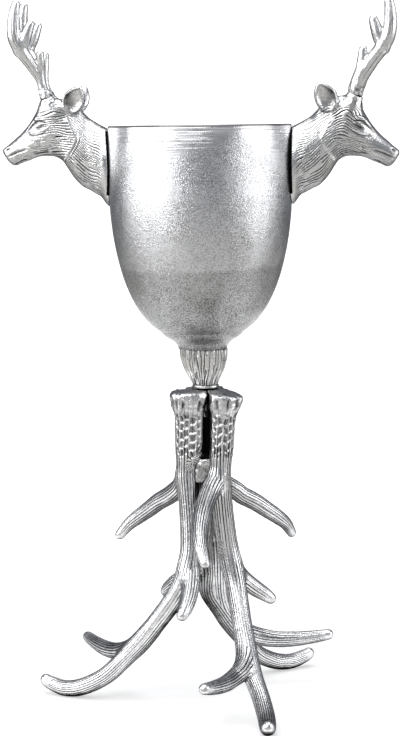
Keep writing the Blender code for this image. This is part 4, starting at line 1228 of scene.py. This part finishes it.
# %% Ears
EAR_CENTRE = np.array((142.6, 19.5, 691.5))
EAR_SIZE = np.array((12.8, 6.6, 19.0))
EAR_HOLLOW_OFFSET = np.array((0.6, 6.2, 1.6))
EAR_HOLLOW_SIZE = np.array((11.0, 6.6, 16.2))
EAR_LEAN = math.radians(-14.0)
EAR_SPLAY = math.radians(20.0)


def ear_place(x, y, z, setback):
    """Places in the ear's own frame: z runs up the ear, y out of its cup."""
    turn = Matrix.Rotation(-EAR_SPLAY, 4, "X") @ Matrix.Rotation(EAR_LEAN, 4, "Y")
    back = np.array((Matrix.Translation(Vector(EAR_CENTRE - (setback, 0, 0))) @ turn).inverted())
    return tuple(back[i][0] * x + back[i][1] * y + back[i][2] * z + back[i][3] for i in range(3))


def ear_cup(place):
    """How far places in the ear's frame lie outside the egg that hollows it."""
    return egg_field(*(p - o for p, o in zip(place, EAR_HOLLOW_OFFSET)), EAR_HOLLOW_SIZE)


def ear_field(x, y, z, setback):
    px, py, pz = ear_place(x, y, z, setback)
    up = np.clip(pz / EAR_SIZE[2], 0.0, 1.0) ** 2
    pinch = 1.0 - 0.50 * up
    px = (px + 4.0 * up) / pinch
    leaf = egg_field(px, py, pz, EAR_SIZE) * pinch
    return smooth_max(leaf, -ear_cup((px, py, pz)), 0.9)


print("an ear is", 2 * EAR_SIZE[2], "mm long and", 2 * EAR_SIZE[0], "mm wide")

# %% [markdown]
# ## The form of a head
#
# Each section of the loft is a rounded oblong. The skull gets two low bosses and the stubs that the
# antlers stand on, which hunters call pedicles. The back of the neck is cut to follow the cup, and
# a little further off where a rubber pad lies between them.

# %% The form of a head
def height_over(axes, seat, way):
    """How far grid points lie beyond a seat, measured along a direction."""
    return sum((value - start) * part for value, start, part in zip(spread(axes), seat, way))


def pedicle_field(axes, side, sign):
    """One stub, cut off square to itself where its antler stands."""
    setback = SIDES[side]["antlers"]
    ends = np.array([
        (*(PEDICLE_ROOT - (setback + 3.0, 0, 0)), PEDICLE_RADIUS + 3.5),
        (*(PEDICLE_SEAT - (setback, 0, 0)), PEDICLE_RADIUS - SIDES[side]["slimmer"])])
    ends[:, 1] *= sign
    root, seat = ends[:, :3]
    way = (seat - root) / np.linalg.norm(seat - root)
    return smooth_max(tube_field(ends, axes), height_over(axes, seat, way), 0.4)


def head_field(axes, side):
    x, y, z = spread(axes)
    top, bottom, half, square = (loft(axes[0], column)[:, None, None] for column in (1, 2, 3, 4))
    tall = np.maximum((top - bottom) / 2, 0.5)
    section = np.abs(y / half) ** (2 / square) + np.abs((z - (top + bottom) / 2) / tall) ** (2 / square)
    field = section ** (square / 2) - 1.0
    slope = np.sqrt(sum(part**2 for part in np.gradient(field, axes[0][1] - axes[0][0])))
    field = np.clip(field / np.maximum(slope, 0.01), -FIELD_REACH, FIELD_REACH)
    field = np.maximum(field, np.broadcast_to(x - NOSE_END, field.shape))
    for sign in (1, -1):
        field = smooth_min(field, ear_field(x, y * sign, z, SIDES[side]["ears"]), 3.0)
        field = smooth_min(field, pedicle_field(axes, side, sign), 6.0)
    bosses = np.array([(158.0, 0.0, 683.0, 9.5), (172.0, 0.0, 682.0, 9.0)])
    for sign in (1, -1):
        field = smooth_min(field, tube_field(bosses + (0, 9.0 * sign, 0, 0), axes), 6.0)
    radius = np.hypot(x, y)
    off_cup = CUP_RADIUS + 0.25 - radius + 0 * z
    back = np.maximum(CUP_RADIUS + SIDES[side]["room"] - radius, SIDES[side]["face"] - x)
    off_pad = np.minimum(back, np.minimum(z - SLOT_LOW, SLOT_HIGH - z))
    return np.maximum(smooth_max(field, off_cup, 0.8), off_pad)


print("a head's pad lies between", SLOT_LOW, "and", SLOT_HIGH)

# %% [markdown]
# ## Lines of the face
#
# A modeller in wax would draw the eye, the mouth and the folds with a loop tool. The script does
# the same in side view: each line is a short path with a width, a depth and a darkness, strong in
# its middle and thin at its ends. A ridge is a line that stands out.

# %% Lines of the face
CHEEK_EDGE = (
    (150.0, 680.0), (147.0, 669.0), (142.0, 656.0), (137.0, 646.5), (141.0, 638.0), (148.0, 628.0),
    (154.5, 620.5),
)
# Path, width, depth, darkness: upper lid, eye, mouth, nostril, two folds under them, five creases
FACE_LINES = (
    (((168.5, 663.6), (174.0, 666.0), (181.0, 666.8), (186.0, 665.2), (190.5, 661.0), (195.5, 653.6)),
     1.1, 1.2, 0.95),
    (((173.0, 662.6), (177.0, 660.8), (181.0, 658.4), (185.0, 657.4)), 1.9, 0.7, 0.75),
    (((219.0, 625.0), (213.0, 627.8), (207.0, 630.6), (200.0, 632.8), (193.0, 634.6)), 1.2, 1.2, 0.9),
    (((221.0, 633.0), (218.0, 634.2), (215.0, 635.8)), 1.3, 1.0, 0.9),
    (((169.5, 656.0), (176.0, 652.2), (182.5, 650.2), (189.0, 649.4), (196.0, 650.0)), 0.9, 0.8, 0.8),
    (((214.0, 614.9), (207.0, 618.6), (200.0, 622.3), (192.0, 623.6)), 0.8, 0.6, 0.6),
    (((190.0, 669.0), (196.0, 661.5), (203.0, 653.5)), 0.8, 0.2, 0.2),
    (((185.0, 645.0), (193.0, 642.5), (203.0, 641.0)), 0.8, 0.3, 0.35),
    (((176.0, 640.0), (186.0, 637.0), (198.0, 637.5)), 0.8, 0.3, 0.35),
    (((170.0, 647.0), (179.0, 643.5), (187.0, 643.0)), 0.8, 0.3, 0.35),
    (((168.0, 633.5), (180.0, 631.0), (192.0, 631.0)), 0.8, 0.3, 0.35),
)
# Path, width, height: lower lid, brow, lower lip
FACE_RIDGES = (
    (((169.0, 659.6), (175.5, 655.6), (182.0, 653.6), (188.0, 652.4), (194.5, 652.8)), 1.5, 1.5),
    (((168.0, 669.5), (175.0, 670.8), (182.0, 670.4), (188.0, 666.5)), 1.6, 1.0),
    (((213.0, 617.4), (206.5, 621.6), (200.0, 625.0), (193.0, 626.4)), 1.4, 1.0),
)


def path_distance(x, z, path):
    """Signed distance from a path in side view, positive on its left, and the share along it."""
    best = np.full(len(x), 1e9)
    sign = np.ones(len(x))
    along = np.zeros(len(x))
    path = np.array(path, float)
    lengths = np.concatenate([[0], np.cumsum(np.hypot(*np.diff(path, axis=0).T))])
    for i, (a, b) in enumerate(zip(path, path[1:])):
        way = b - a
        t = np.clip(((x - a[0]) * way[0] + (z - a[1]) * way[1]) / (way @ way), 0, 1)
        dx, dz = x - a[0] - t * way[0], z - a[1] - t * way[1]
        gap = np.hypot(dx, dz)
        closer = gap < best
        best = np.where(closer, gap, best)
        sign = np.where(closer, np.sign(way[0] * dz - way[1] * dx), sign)
        along = np.where(closer, (lengths[i] + t * np.hypot(*way)) / lengths[-1], along)
    return best * sign, along


def hump(value, centre, width):
    """1 at the centre, falling to 0 on both sides of it."""
    return np.exp(-((value - centre) / width) ** 2)


def stroke(x, z, path, width, taper=0.25):
    """1 along a stroke, falling to 0 at its sides and its ends."""
    gap, along = path_distance(x, z, path)
    ends = step(0.0, taper, along) * step(1.0, 1.0 - taper, along)
    return hump(gap, 0.0, width * (0.45 + 0.55 * ends)) * (0.25 + 0.75 * ends)


print(len(FACE_LINES), "lines and", len(FACE_RIDGES), "ridges on each side of the face")

# %% [markdown]
# ## Hair
#
# The hair is cast in long wavy strokes. On the cheek they run back from the eye, and on the neck
# they follow the throat. Particle hair would be far too fine for metal. Evenly spaced waves of a
# flow value give the strokes, noise bends the flow, and more noise breaks them into locks.

# %% Hair
def cheek_hair(x, z, half, front, sweep):
    """Phase and zone of the strokes that run from the cheek's edge towards the eye."""
    flow = z - sweep * (x - 150.0) * step(34.0, 6.0, front) + 0.05 * (x - 150.0)
    flow = flow + 2.6 * noise(np.stack([x / 15.0, z / 8.0, half], 1), 1.0, 4.0)
    zone = step(0.0, 3.0, front) * step(46.0, 12.0, front)
    zone = zone * step(684.0, 674.0, z) * step(624.0, 630.0, z)
    broken = noise(np.stack([x / 6.0, flow / 3.4, half], 1), 1.0, 6.0)
    return flow * math.pi / 2.8, zone * step(-0.5, 0.2, broken + 0.30)


def neck_hair(x, half, front, share):
    """Phase and zone of the arcs that follow the throat, and the zone of the faint ones above."""
    wave = share * 27.0 + 1.2 * noise(np.stack([x / 14.0, share * 5.0, half], 1), 1.0, 7.0)
    behind = step(0.5, -4.0, front)
    broken = noise(np.stack([x / 6.5, wave * 0.8, half], 1), 1.0, 8.0)
    zone = behind * step(106.0, 114.0, x) * step(0.86, 0.55, share) * step(-0.30, 0.25, broken + 0.12)
    zone = zone * (0.35 + 0.65 * step(0.75, 0.45, share)) * step(0.04, 0.12, share)
    return wave * math.pi, zone, behind * step(0.5, 0.75, share) * step(104.0, 112.0, x)


def carve_hair(x, y, z, facing, style):
    """Cut, darkness and grooves of the cheek and the neck, where the surface faces sideways."""
    half = np.sign(y)
    top, bottom = loft(x, 1), loft(x, 2)
    share = np.clip((z - bottom) / (top - bottom), -0.2, 1.2)
    skin = facing * step(700.0, 690.0, z) * np.where((x < 162.0) & (z > 684.0), 0.0, 1.0)
    front, _ = path_distance(x, z, CHEEK_EDGE)
    # The cheek stands out over the neck, with a double cord along its edge on the left head
    soft = 3.0 - 2.2 * style["cord"]
    cheek = step(-soft, soft, front) * np.exp(-np.clip(front, 0, None) / 15.0)
    corded = style["cord"] * step(652.0, 644.0, z) * facing
    cord = (hump(front, -2.4, 0.8) + 0.8 * hump(front, 1.6, 0.8)) * corded
    between = (hump(front, -0.7, 0.8) + 0.6 * hump(front, -4.0, 0.7)) * corded
    hair_phase, hair_zone = cheek_hair(x, z, half, front, style["sweep"])
    neck_phase, neck_zone, faint = neck_hair(x, half, front, share)
    faint = faint * skin
    hair, neck = ridge(hair_phase, 1.5), ridge(neck_phase, 1.4)
    cut = 0.5 * between - 0.5 * cord - 1.2 * cheek * skin + 0.25 * neck * faint
    cut += (0.9 * hair * hair_zone + 0.95 * neck * neck_zone) * facing
    dark = 0.6 * between + 0.25 * (hair * hair_zone + neck * neck_zone) * facing
    # Painted shade in the recess behind the top of the cheek
    recess = hump(x, 152.0, 9.0) * hump(z, 671.0, 11.0) * skin
    dark += 0.8 * (style["strokes"] - 0.8) * recess * (0.35 + 0.65 * hair)
    strength = np.where(front > 0, hair_zone, np.clip(neck_zone + 0.35 * faint, 0.0, 1.0)) * skin
    phase = np.where(front > 0, hair_phase, neck_phase)
    return cut, dark, groove_vector(phase, strength * style["strokes"])


print("strength of the hair's strokes", {side: SIDES[side]["strokes"] for side in SIDES})

# %% [markdown]
# ## Carving a head
#
# The hair comes first, then the eye, the lines of the face, the strokes on the muzzle, the shade in
# the ears, and the rough skin round the stubs. Each adds to how deep every point is cut along its
# normal and how dark it is, so the order doesn't matter.

# %% Carving a head
def carve_head(points, faces, side):
    normals = normals_of(points, faces)
    x, y, z = points.T
    facing = step(0.25, 0.65, np.abs(normals[:, 1]))
    cut, dark, groove = carve_hair(x, y, z, facing, SIDES[side])
    # The ball of the eye
    across = x - 182.0
    up = z - 659.5 + 0.42 * across
    cut -= 1.6 * np.exp(-((across / 9.5) ** 2 + (up / 4.6) ** 2) ** 1.6) * facing
    for path, width, depth, shade in FACE_LINES:
        mark = stroke(x, z, path, width) * facing
        cut += depth * mark
        dark += shade * mark
    for path, width, height in FACE_RIDGES:
        cut -= height * stroke(x, z, path, width) * facing
    muzzle = step(200.0, 210.0, x) * step(634.0, 628.0, z) * facing
    muzzle = 0.35 * muzzle * ridge((z + 0.5 * x) * math.pi / 2.6, 1.5)
    cut += muzzle
    dark += muzzle
    # Painted shade in the cup of an ear, darker low down and towards the face
    for sign in (1, -1):
        px, py, pz = ear_place(x, y * sign, z, SIDES[side]["ears"])
        cup = step(1.4, 0.3, np.abs(ear_cup((px, py, pz)))) * step(682.0, 686.0, z)
        cup = cup * step(EAR_SIZE[1], EAR_SIZE[1] - 2.0, py)
        dark += 0.6 * cup * step(-6.0, 8.0, px - 0.6 * pz)
    # Rough skin round the stubs, and a little unevenness everywhere
    near_horn = step(676.0, 688.0, z) * step(158.0, 164.0, x)
    rough = 0.35 * noise(points, 2.6, 9.0) + 0.25 * noise(points, 5.0, 9.5)
    cut -= rough * near_horn + 0.10 * noise(points, 7.0, 11.0)
    # The low parts of the rough skin are painted dark, both patina and painted shade
    dark += np.clip(-rough * 1.6, 0, 0.7) * near_horn
    # Painted shade on the undersides
    dark += 0.5 * step(-0.25, -0.8, normals[:, 2])
    return points - normals * cut[:, None], np.clip(dark, 0.0, 1.0), groove


def tipped(points, side):
    """Tips the nose up or down as on that head; what is above the skull stays."""
    moved = points.copy()
    share = SIDES[side]["nose"] / NOSE_REACH
    moved[:, 2] += share * np.clip(moved[:, 0] - CUP_RADIUS, 0, None) * step(700.0, 676.0, moved[:, 2])
    return moved


axes = grid_points(np.array((100.0, -40.0, 560.0)), np.array((228.0, 40.0, 718.0)), HEAD_VOXEL)
for side in SIDES:
    points, faces = skin_of(head_field(axes, side), axes)
    points, patina_and_shade, groove = carve_head(points, faces, side)
    points = spun(tipped(points, side), SIDES[side]["turn"])
    add_piece("stag_head_" + side, points, faces, HEAD_SILVER, (side + "_head",),
              {"patina_and_shade": patina_and_shade, "groove": groove})

# %% [markdown]
# ## Rubber pads
#
# A thin rubber pad lies between each neck and the cup, and shows as a dark line. It is a ring of
# eight points, rounded at its edges, repeated along an arc round the cup.

# %% Rubber pads
PAD_HALF_WIDTH = 5.5
PAD_GAP = 0.3


def pad_mesh(low, high, near, far):
    """A curved pad between two heights and two radii."""
    reach = math.asin(PAD_HALF_WIDTH / CUP_RADIUS)
    angles = np.linspace(-reach, reach, 25)
    ring = [(near, low + 0.5), (near + 0.5, low), (far - 0.5, low), (far, low + 0.5),
            (far, high - 0.5), (far - 0.5, high), (near + 0.5, high), (near, high - 0.5)]
    points = [(r * math.cos(a), r * math.sin(a), z) for a in angles for r, z in ring]
    n = len(ring)
    faces = [(i * n + k, i * n + (k + 1) % n, (i + 1) * n + (k + 1) % n, (i + 1) * n + k)
             for i in range(len(angles) - 1) for k in range(n)]
    ends = [tuple(range(n)), tuple(range(len(points) - 1, len(points) - n - 1, -1))]
    return np.array(points), flipped(faces) + ends


for side in SIDES:
    far = CUP_RADIUS + max(SIDES[side]["room"], SIDES[side]["face"] - CUP_RADIUS)
    points, faces = pad_mesh(SLOT_LOW + 0.2, SLOT_HIGH - 0.2, CUP_RADIUS + PAD_GAP, far - PAD_GAP)
    points = spun(points, SIDES[side]["turn"])
    add_piece("rubber_pad_" + side, points, faces, RUBBER, (side + "_gasket",), {})

# %% [markdown]
# ## Head antlers
#
# Four small antlers stand on the stubs. They are made like the legs, from three routes each, with
# lighter grooves. A head's second antler is the mirror image of its first, so its faces are turned
# round to look outwards again.

# %% Antler routes
ANTLER_BEAM = (
    (175.6, 14.1, 694.2, 8.5), (176.2, 14.5, 698.4, 8.9), (177.4, 15.3, 702.5, 8.8),
    (182.2, 17.0, 714.5, 8.8), (188.8, 19.5, 724.0, 8.2), (197.4, 22.5, 735.2, 7.6),
    (206.8, 25.3, 747.2, 7.8), (212.6, 27.0, 758.0, 7.9), (214.6, 28.0, 770.0, 7.6),
    (214.6, 28.5, 785.0, 6.3), (213.1, 28.5, 796.4, 4.9),
)
ANTLER_LOWER_TINE = (
    (180.5, 17.0, 712.0, 6.4), (182.6, 18.2, 724.0, 6.2), (183.8, 19.2, 734.0, 5.7),
    (184.4, 20.3, 742.6, 4.7),
)
ANTLER_MIDDLE_TINE = (
    (208.0, 25.5, 745.0, 6.6), (202.2, 25.8, 756.0, 6.7), (199.0, 26.5, 766.0, 6.3),
    (196.0, 27.0, 775.0, 5.0),
)
# The left head's antlers are slimmer at their roots: height, and the factors of radius and spread
# there, and how far they stand forward
SLIM_ROOTS = np.array((
    (694.0, 0.85, 0.95, 0.0), (702.0, 0.62, 0.80, 2.6), (714.0, 0.56, 0.75, 2.0),
    (724.0, 0.72, 0.80, 1.0), (735.0, 0.90, 0.88, 0.4), (750.0, 1.0, 1.0, 0.0),
))
ANTLER_VOXEL = 0.75 * COARSE
print("antler grid step", ANTLER_VOXEL)


def antler_routes(side):
    setback, lean = SIDES[side]["antlers"], SIDES[side]["lean"]
    seat = PEDICLE_SEAT - (setback, 0, 0)
    turn = np.array(Matrix.Rotation(lean, 3, "Y"))
    routes = []
    for points in (ANTLER_BEAM, ANTLER_LOWER_TINE, ANTLER_MIDDLE_TINE):
        route = np.array(points, float)
        if side == "left":
            slim, inward, ahead = (
                np.interp(route[:, 2], SLIM_ROOTS[:, 0], SLIM_ROOTS[:, k]) for k in (1, 2, 3))
            route[:, 0] += ahead
            route[:, 1] *= inward
            route[:, 3] *= slim
        route[:, 0] -= setback
        foot = route[:, 2:3] < 700.0
        route[:, :3] = np.where(foot, route[:, :3], (route[:, :3] - seat) @ turn.T + seat)
        routes.append(smooth_route(route, 3.0))
    return routes


# %% [markdown]
# ## Antler skin
#
# The tubes are joined with a tighter blend than the legs' and cut off at the stub. A leg's grooves
# were left sharp, but these small castings have been buffed nearly smooth, so the grooves and pits
# are shallow and fade out towards the tips.

# %% Antler skin
def antler_form(side, routes):
    axes = grid_points(*room_for(routes, 14.0, 8.0), ANTLER_VOXEL)
    field = joined_tubes(routes, axes, 2.5, reach=6.0)
    way = PEDICLE_SEAT - PEDICLE_ROOT
    way = way / np.linalg.norm(way)
    seat = PEDICLE_SEAT - (SIDES[side]["antlers"], 0, 0)
    return skin_of(smooth_max(field, 0.05 - height_over(axes, seat, way), 0.4), axes)


def carve_antler(points, faces, routes):
    blend = RouteBlend(points)
    for number, route in enumerate(routes):
        at = follow(points, smooth_route(route, 1.0))
        tip = step(1.0, 14.0, at["left"])
        lines, phase = grooves(at, 13, 1.6, 30.0 + number)
        phase[:, 2] *= tip
        pits = step(0.05, 0.6, noise(round_place(at, 3.4, 5.0), 1.0, 33.0))
        low_part = 0.0 if number else step(26.0, 8.0, at["u"])
        cut = tip * (0.3 * lines + 0.4 * pits * (0.4 + low_part) - 0.15)
        # The grooves and pits are painted dark, both patina and painted shade
        dark = tip * (0.10 * lines + 0.30 * pits * (0.25 + 0.8 * low_part))
        blend.add(at, 1.0, cut, dark, phase)
    cut, dark = blend.mean()
    # The small burr at the root is knobbly
    burr = step(704.0, 700.0, points[:, 2])
    knobs = noise(points, 2.8, 12.0)
    cut = cut * (1 - burr) - 0.5 * knobs * burr
    # The low parts of the burr's knobs are painted dark, both patina and painted shade
    dark = dark * (1 - burr) + burr * np.clip(0.25 - 0.7 * knobs, 0, 0.8)
    return points - normals_of(points, faces) * cut[:, None], np.clip(dark, 0, 1), blend.groove


for side, places in (("right", ("back", "front")), ("left", ("front", "back"))):
    routes = antler_routes(side)
    points, faces = antler_form(side, routes)
    points, patina_and_shade, groove = carve_antler(points, faces, routes)
    for sign, place in zip((1, -1), places):
        placed = spun(points * (1, sign, 1), SIDES[side]["turn"])
        add_piece("horn_" + side + "_" + place, placed, faces[:, ::sign], HORN_SILVER,
                  (side + "_antler_" + place,), {"patina_and_shade": patina_and_shade, "groove": groove})

# %% [markdown]
# ## Studio
#
# The wine cooler stands on a white paper sweep in a pale grey studio. The paper glows only for the
# camera and for reflections, so that the background is white while the light on the object stays
# plain. It rises behind the object in a curve, which leaves no line between floor and wall.

# %% Floor and paper sweep
TURN = math.radians(4.6)
AHEAD = Vector((-math.sin(TURN), math.cos(TURN), 0.0))
RIGHT = Vector((math.cos(TURN), math.sin(TURN), 0.0))
MIDDLE = Vector((AXIS[0], AXIS[1], 0.0))


def in_studio(right, ahead, up):
    """A place given from the camera's side: to the right, away from it, and up, in metres."""
    return MIDDLE + RIGHT * right + AHEAD * ahead + Vector((0, 0, up))


def matt_look(name, colour):
    made, bench, shader = new_look(name)
    bench.fill_named(shader, {
        "Base Color": (*colour, 1.0), "Roughness": 1.0, "Specular IOR Level": 0.0})
    return made, bench, shader


def paper_look():
    """Shadows fall on it, and to the camera and in the metal it reaches white."""
    made, bench, shader = matt_look("white_paper", (0.62, 0.62, 0.62))
    rays = bench.add("ShaderNodeLightPath").outputs
    seen = bench.plus(rays["Is Camera Ray"], rays["Is Glossy Ray"])
    seen = bench.plus(seen, rays["Is Transmission Ray"])
    glow = bench.times(seen, bench.kept("glow"))
    bench.fill_named(shader, {"Emission Color": (1.0, 1.0, 1.0, 1.0), "Emission Strength": glow})
    return made


def stage_piece(name, points, faces, look, values):
    made = new_object(name, points, faces, look, values)
    print(name, len(faces), "faces")


SWEEP_SIDES = (-0.62, -0.3, 0.0, 0.3, 0.62)
SWEEP_START, SWEEP_RADIUS = 2.4, 0.8
sweep = [(-0.21, 0.0), *((a, 0.0) for a in np.linspace(-0.1, SWEEP_START, 26))]
sweep += [(SWEEP_START + SWEEP_RADIUS * math.sin(a), SWEEP_RADIUS - SWEEP_RADIUS * math.cos(a))
          for a in np.linspace(0.15, math.pi / 2, 10)]
sweep.append((3.2, 1.7))
points = [in_studio(x, a, z - 0.0005) for a, z in sweep for x in SWEEP_SIDES]
glow = [0.50 + 0.50 * float(step(0.35, 1.1, a)) for a, z in sweep for x in SWEEP_SIDES]
n = len(SWEEP_SIDES)
faces = [(i + k, i + k + 1, i + k + n + 1, i + k + n)
         for i in range(0, n * (len(sweep) - 1), n) for k in range(n - 1)]
stage_piece("paper_sweep", points, faces, paper_look(), {"glow": glow})
points = [in_studio(x, a, -0.004) for x, a in ((-9, -9), (9, -9), (9, 9), (-9, 9))]
stage_piece("studio_floor", points, [(0, 1, 2, 3)], matt_look("grey_floor", (0.44, 0.43, 0.41))[0], {})

# %% [markdown]
# ## Soft boxes and room light
#
# Polished metal shows its surroundings, so its light is large and soft. Two tall boxes stand where
# the cup's sides mirror them towards the camera, one lies overhead, one lights the front from above,
# and a low strip lifts the legs. The world fills the shadows with an even grey.

# %% Soft boxes and room light
def soft_box(name, place, aim, size, brightness):
    lamp = bpy.data.lights.new(name, "AREA")
    lamp.shape = "RECTANGLE"
    lamp.size, lamp.size_y = size
    lamp.energy = brightness * math.pi * size[0] * size[1]
    made = bpy.data.objects.new(name, lamp)
    made.location = place
    made.rotation_euler = (aim - place).to_track_quat("-Z", "Y").to_euler()
    bpy.context.scene.collection.objects.link(made)
    print(name, "at", [round(value, 2) for value in place])


def around(bearing, distance, up):
    """A place at a bearing seen from the object: 0 is the camera's side, positive to the right."""
    angle = math.radians(bearing)
    return in_studio(distance * math.sin(angle), -distance * math.cos(angle), up)


soft_box("left_box", around(-66.0, 2.0, 1.15), in_studio(0, 0, 0.75), (2.5, 1.6), 2.9)
soft_box("right_box", around(76.0, 2.0, 0.98), in_studio(0, 0, 0.65), (1.9, 1.6), 1.8)
soft_box("top_box", in_studio(0.0, 0.1, 2.4), in_studio(0, 0.1, 0.4), (2.4, 2.0), 2.3)
soft_box("front_box", around(-20.0, 1.9, 2.2), in_studio(-0.1, 0, 0.6), (1.8, 1.0), 3.4)
soft_box("low_box", around(6.0, 2.0, 0.14), in_studio(0, 0, 0.3), (1.6, 0.28), 0.45)

world = bpy.data.worlds.new("studio_world")
world.use_nodes = True
bpy.context.scene.world = world
background = world.node_tree.nodes["Background"].inputs
background["Color"].default_value = (0.185, 0.195, 0.215, 1.0)
background["Strength"].default_value = 1.0

# %% [markdown]
# ## Camera
#
# The camera stands where the photograph was taken from, which its lines give: how far off, how
# high, how far it looks down, and how many pixels wide a metre is there. A real camera's lens in
# millimetres follows from those pixels and the sensor's width.

# %% Camera
CAMERA_DISTANCE = 2.465
CAMERA_HEIGHT = 0.662
FOCAL_PIXELS = 2171.0
# The horizon lies this many pixels above the middle of the picture
HORIZON_ABOVE = 243.0
PITCH = math.atan(HORIZON_ABOVE / FOCAL_PIXELS)
ROLL = math.radians(0.8)
SENSOR = 36.0
PICTURE_HEIGHT = 736.0
camera_data = bpy.data.cameras.new("photo_camera")
camera_data.sensor_width = SENSOR
camera_data.lens = FOCAL_PIXELS / PICTURE_HEIGHT * SENSOR
camera = bpy.data.objects.new("photo_camera", camera_data)
view = AHEAD * math.cos(PITCH) - Vector((0, 0, math.sin(PITCH)))
# The picture is turned a little about a point on the cup's axis, which lies this many pixels to
# the right of its middle and under it
TURNED_RIGHT, TURNED_BELOW = 4.6, 112.0
slide = -(TURNED_RIGHT - TURNED_BELOW * math.sin(ROLL)) * CAMERA_DISTANCE / FOCAL_PIXELS
base = view.to_track_quat("-Z", "Y").to_matrix().to_4x4()
place = Matrix.Translation(in_studio(slide, -CAMERA_DISTANCE, CAMERA_HEIGHT))
camera.matrix_world = place @ Matrix.Rotation(ROLL, 4, view) @ base
bpy.context.scene.collection.objects.link(camera)
bpy.context.scene.camera = camera
bpy.context.scene.view_settings.view_transform = "Standard"
print("lens", round(camera_data.lens, 1), "mm")
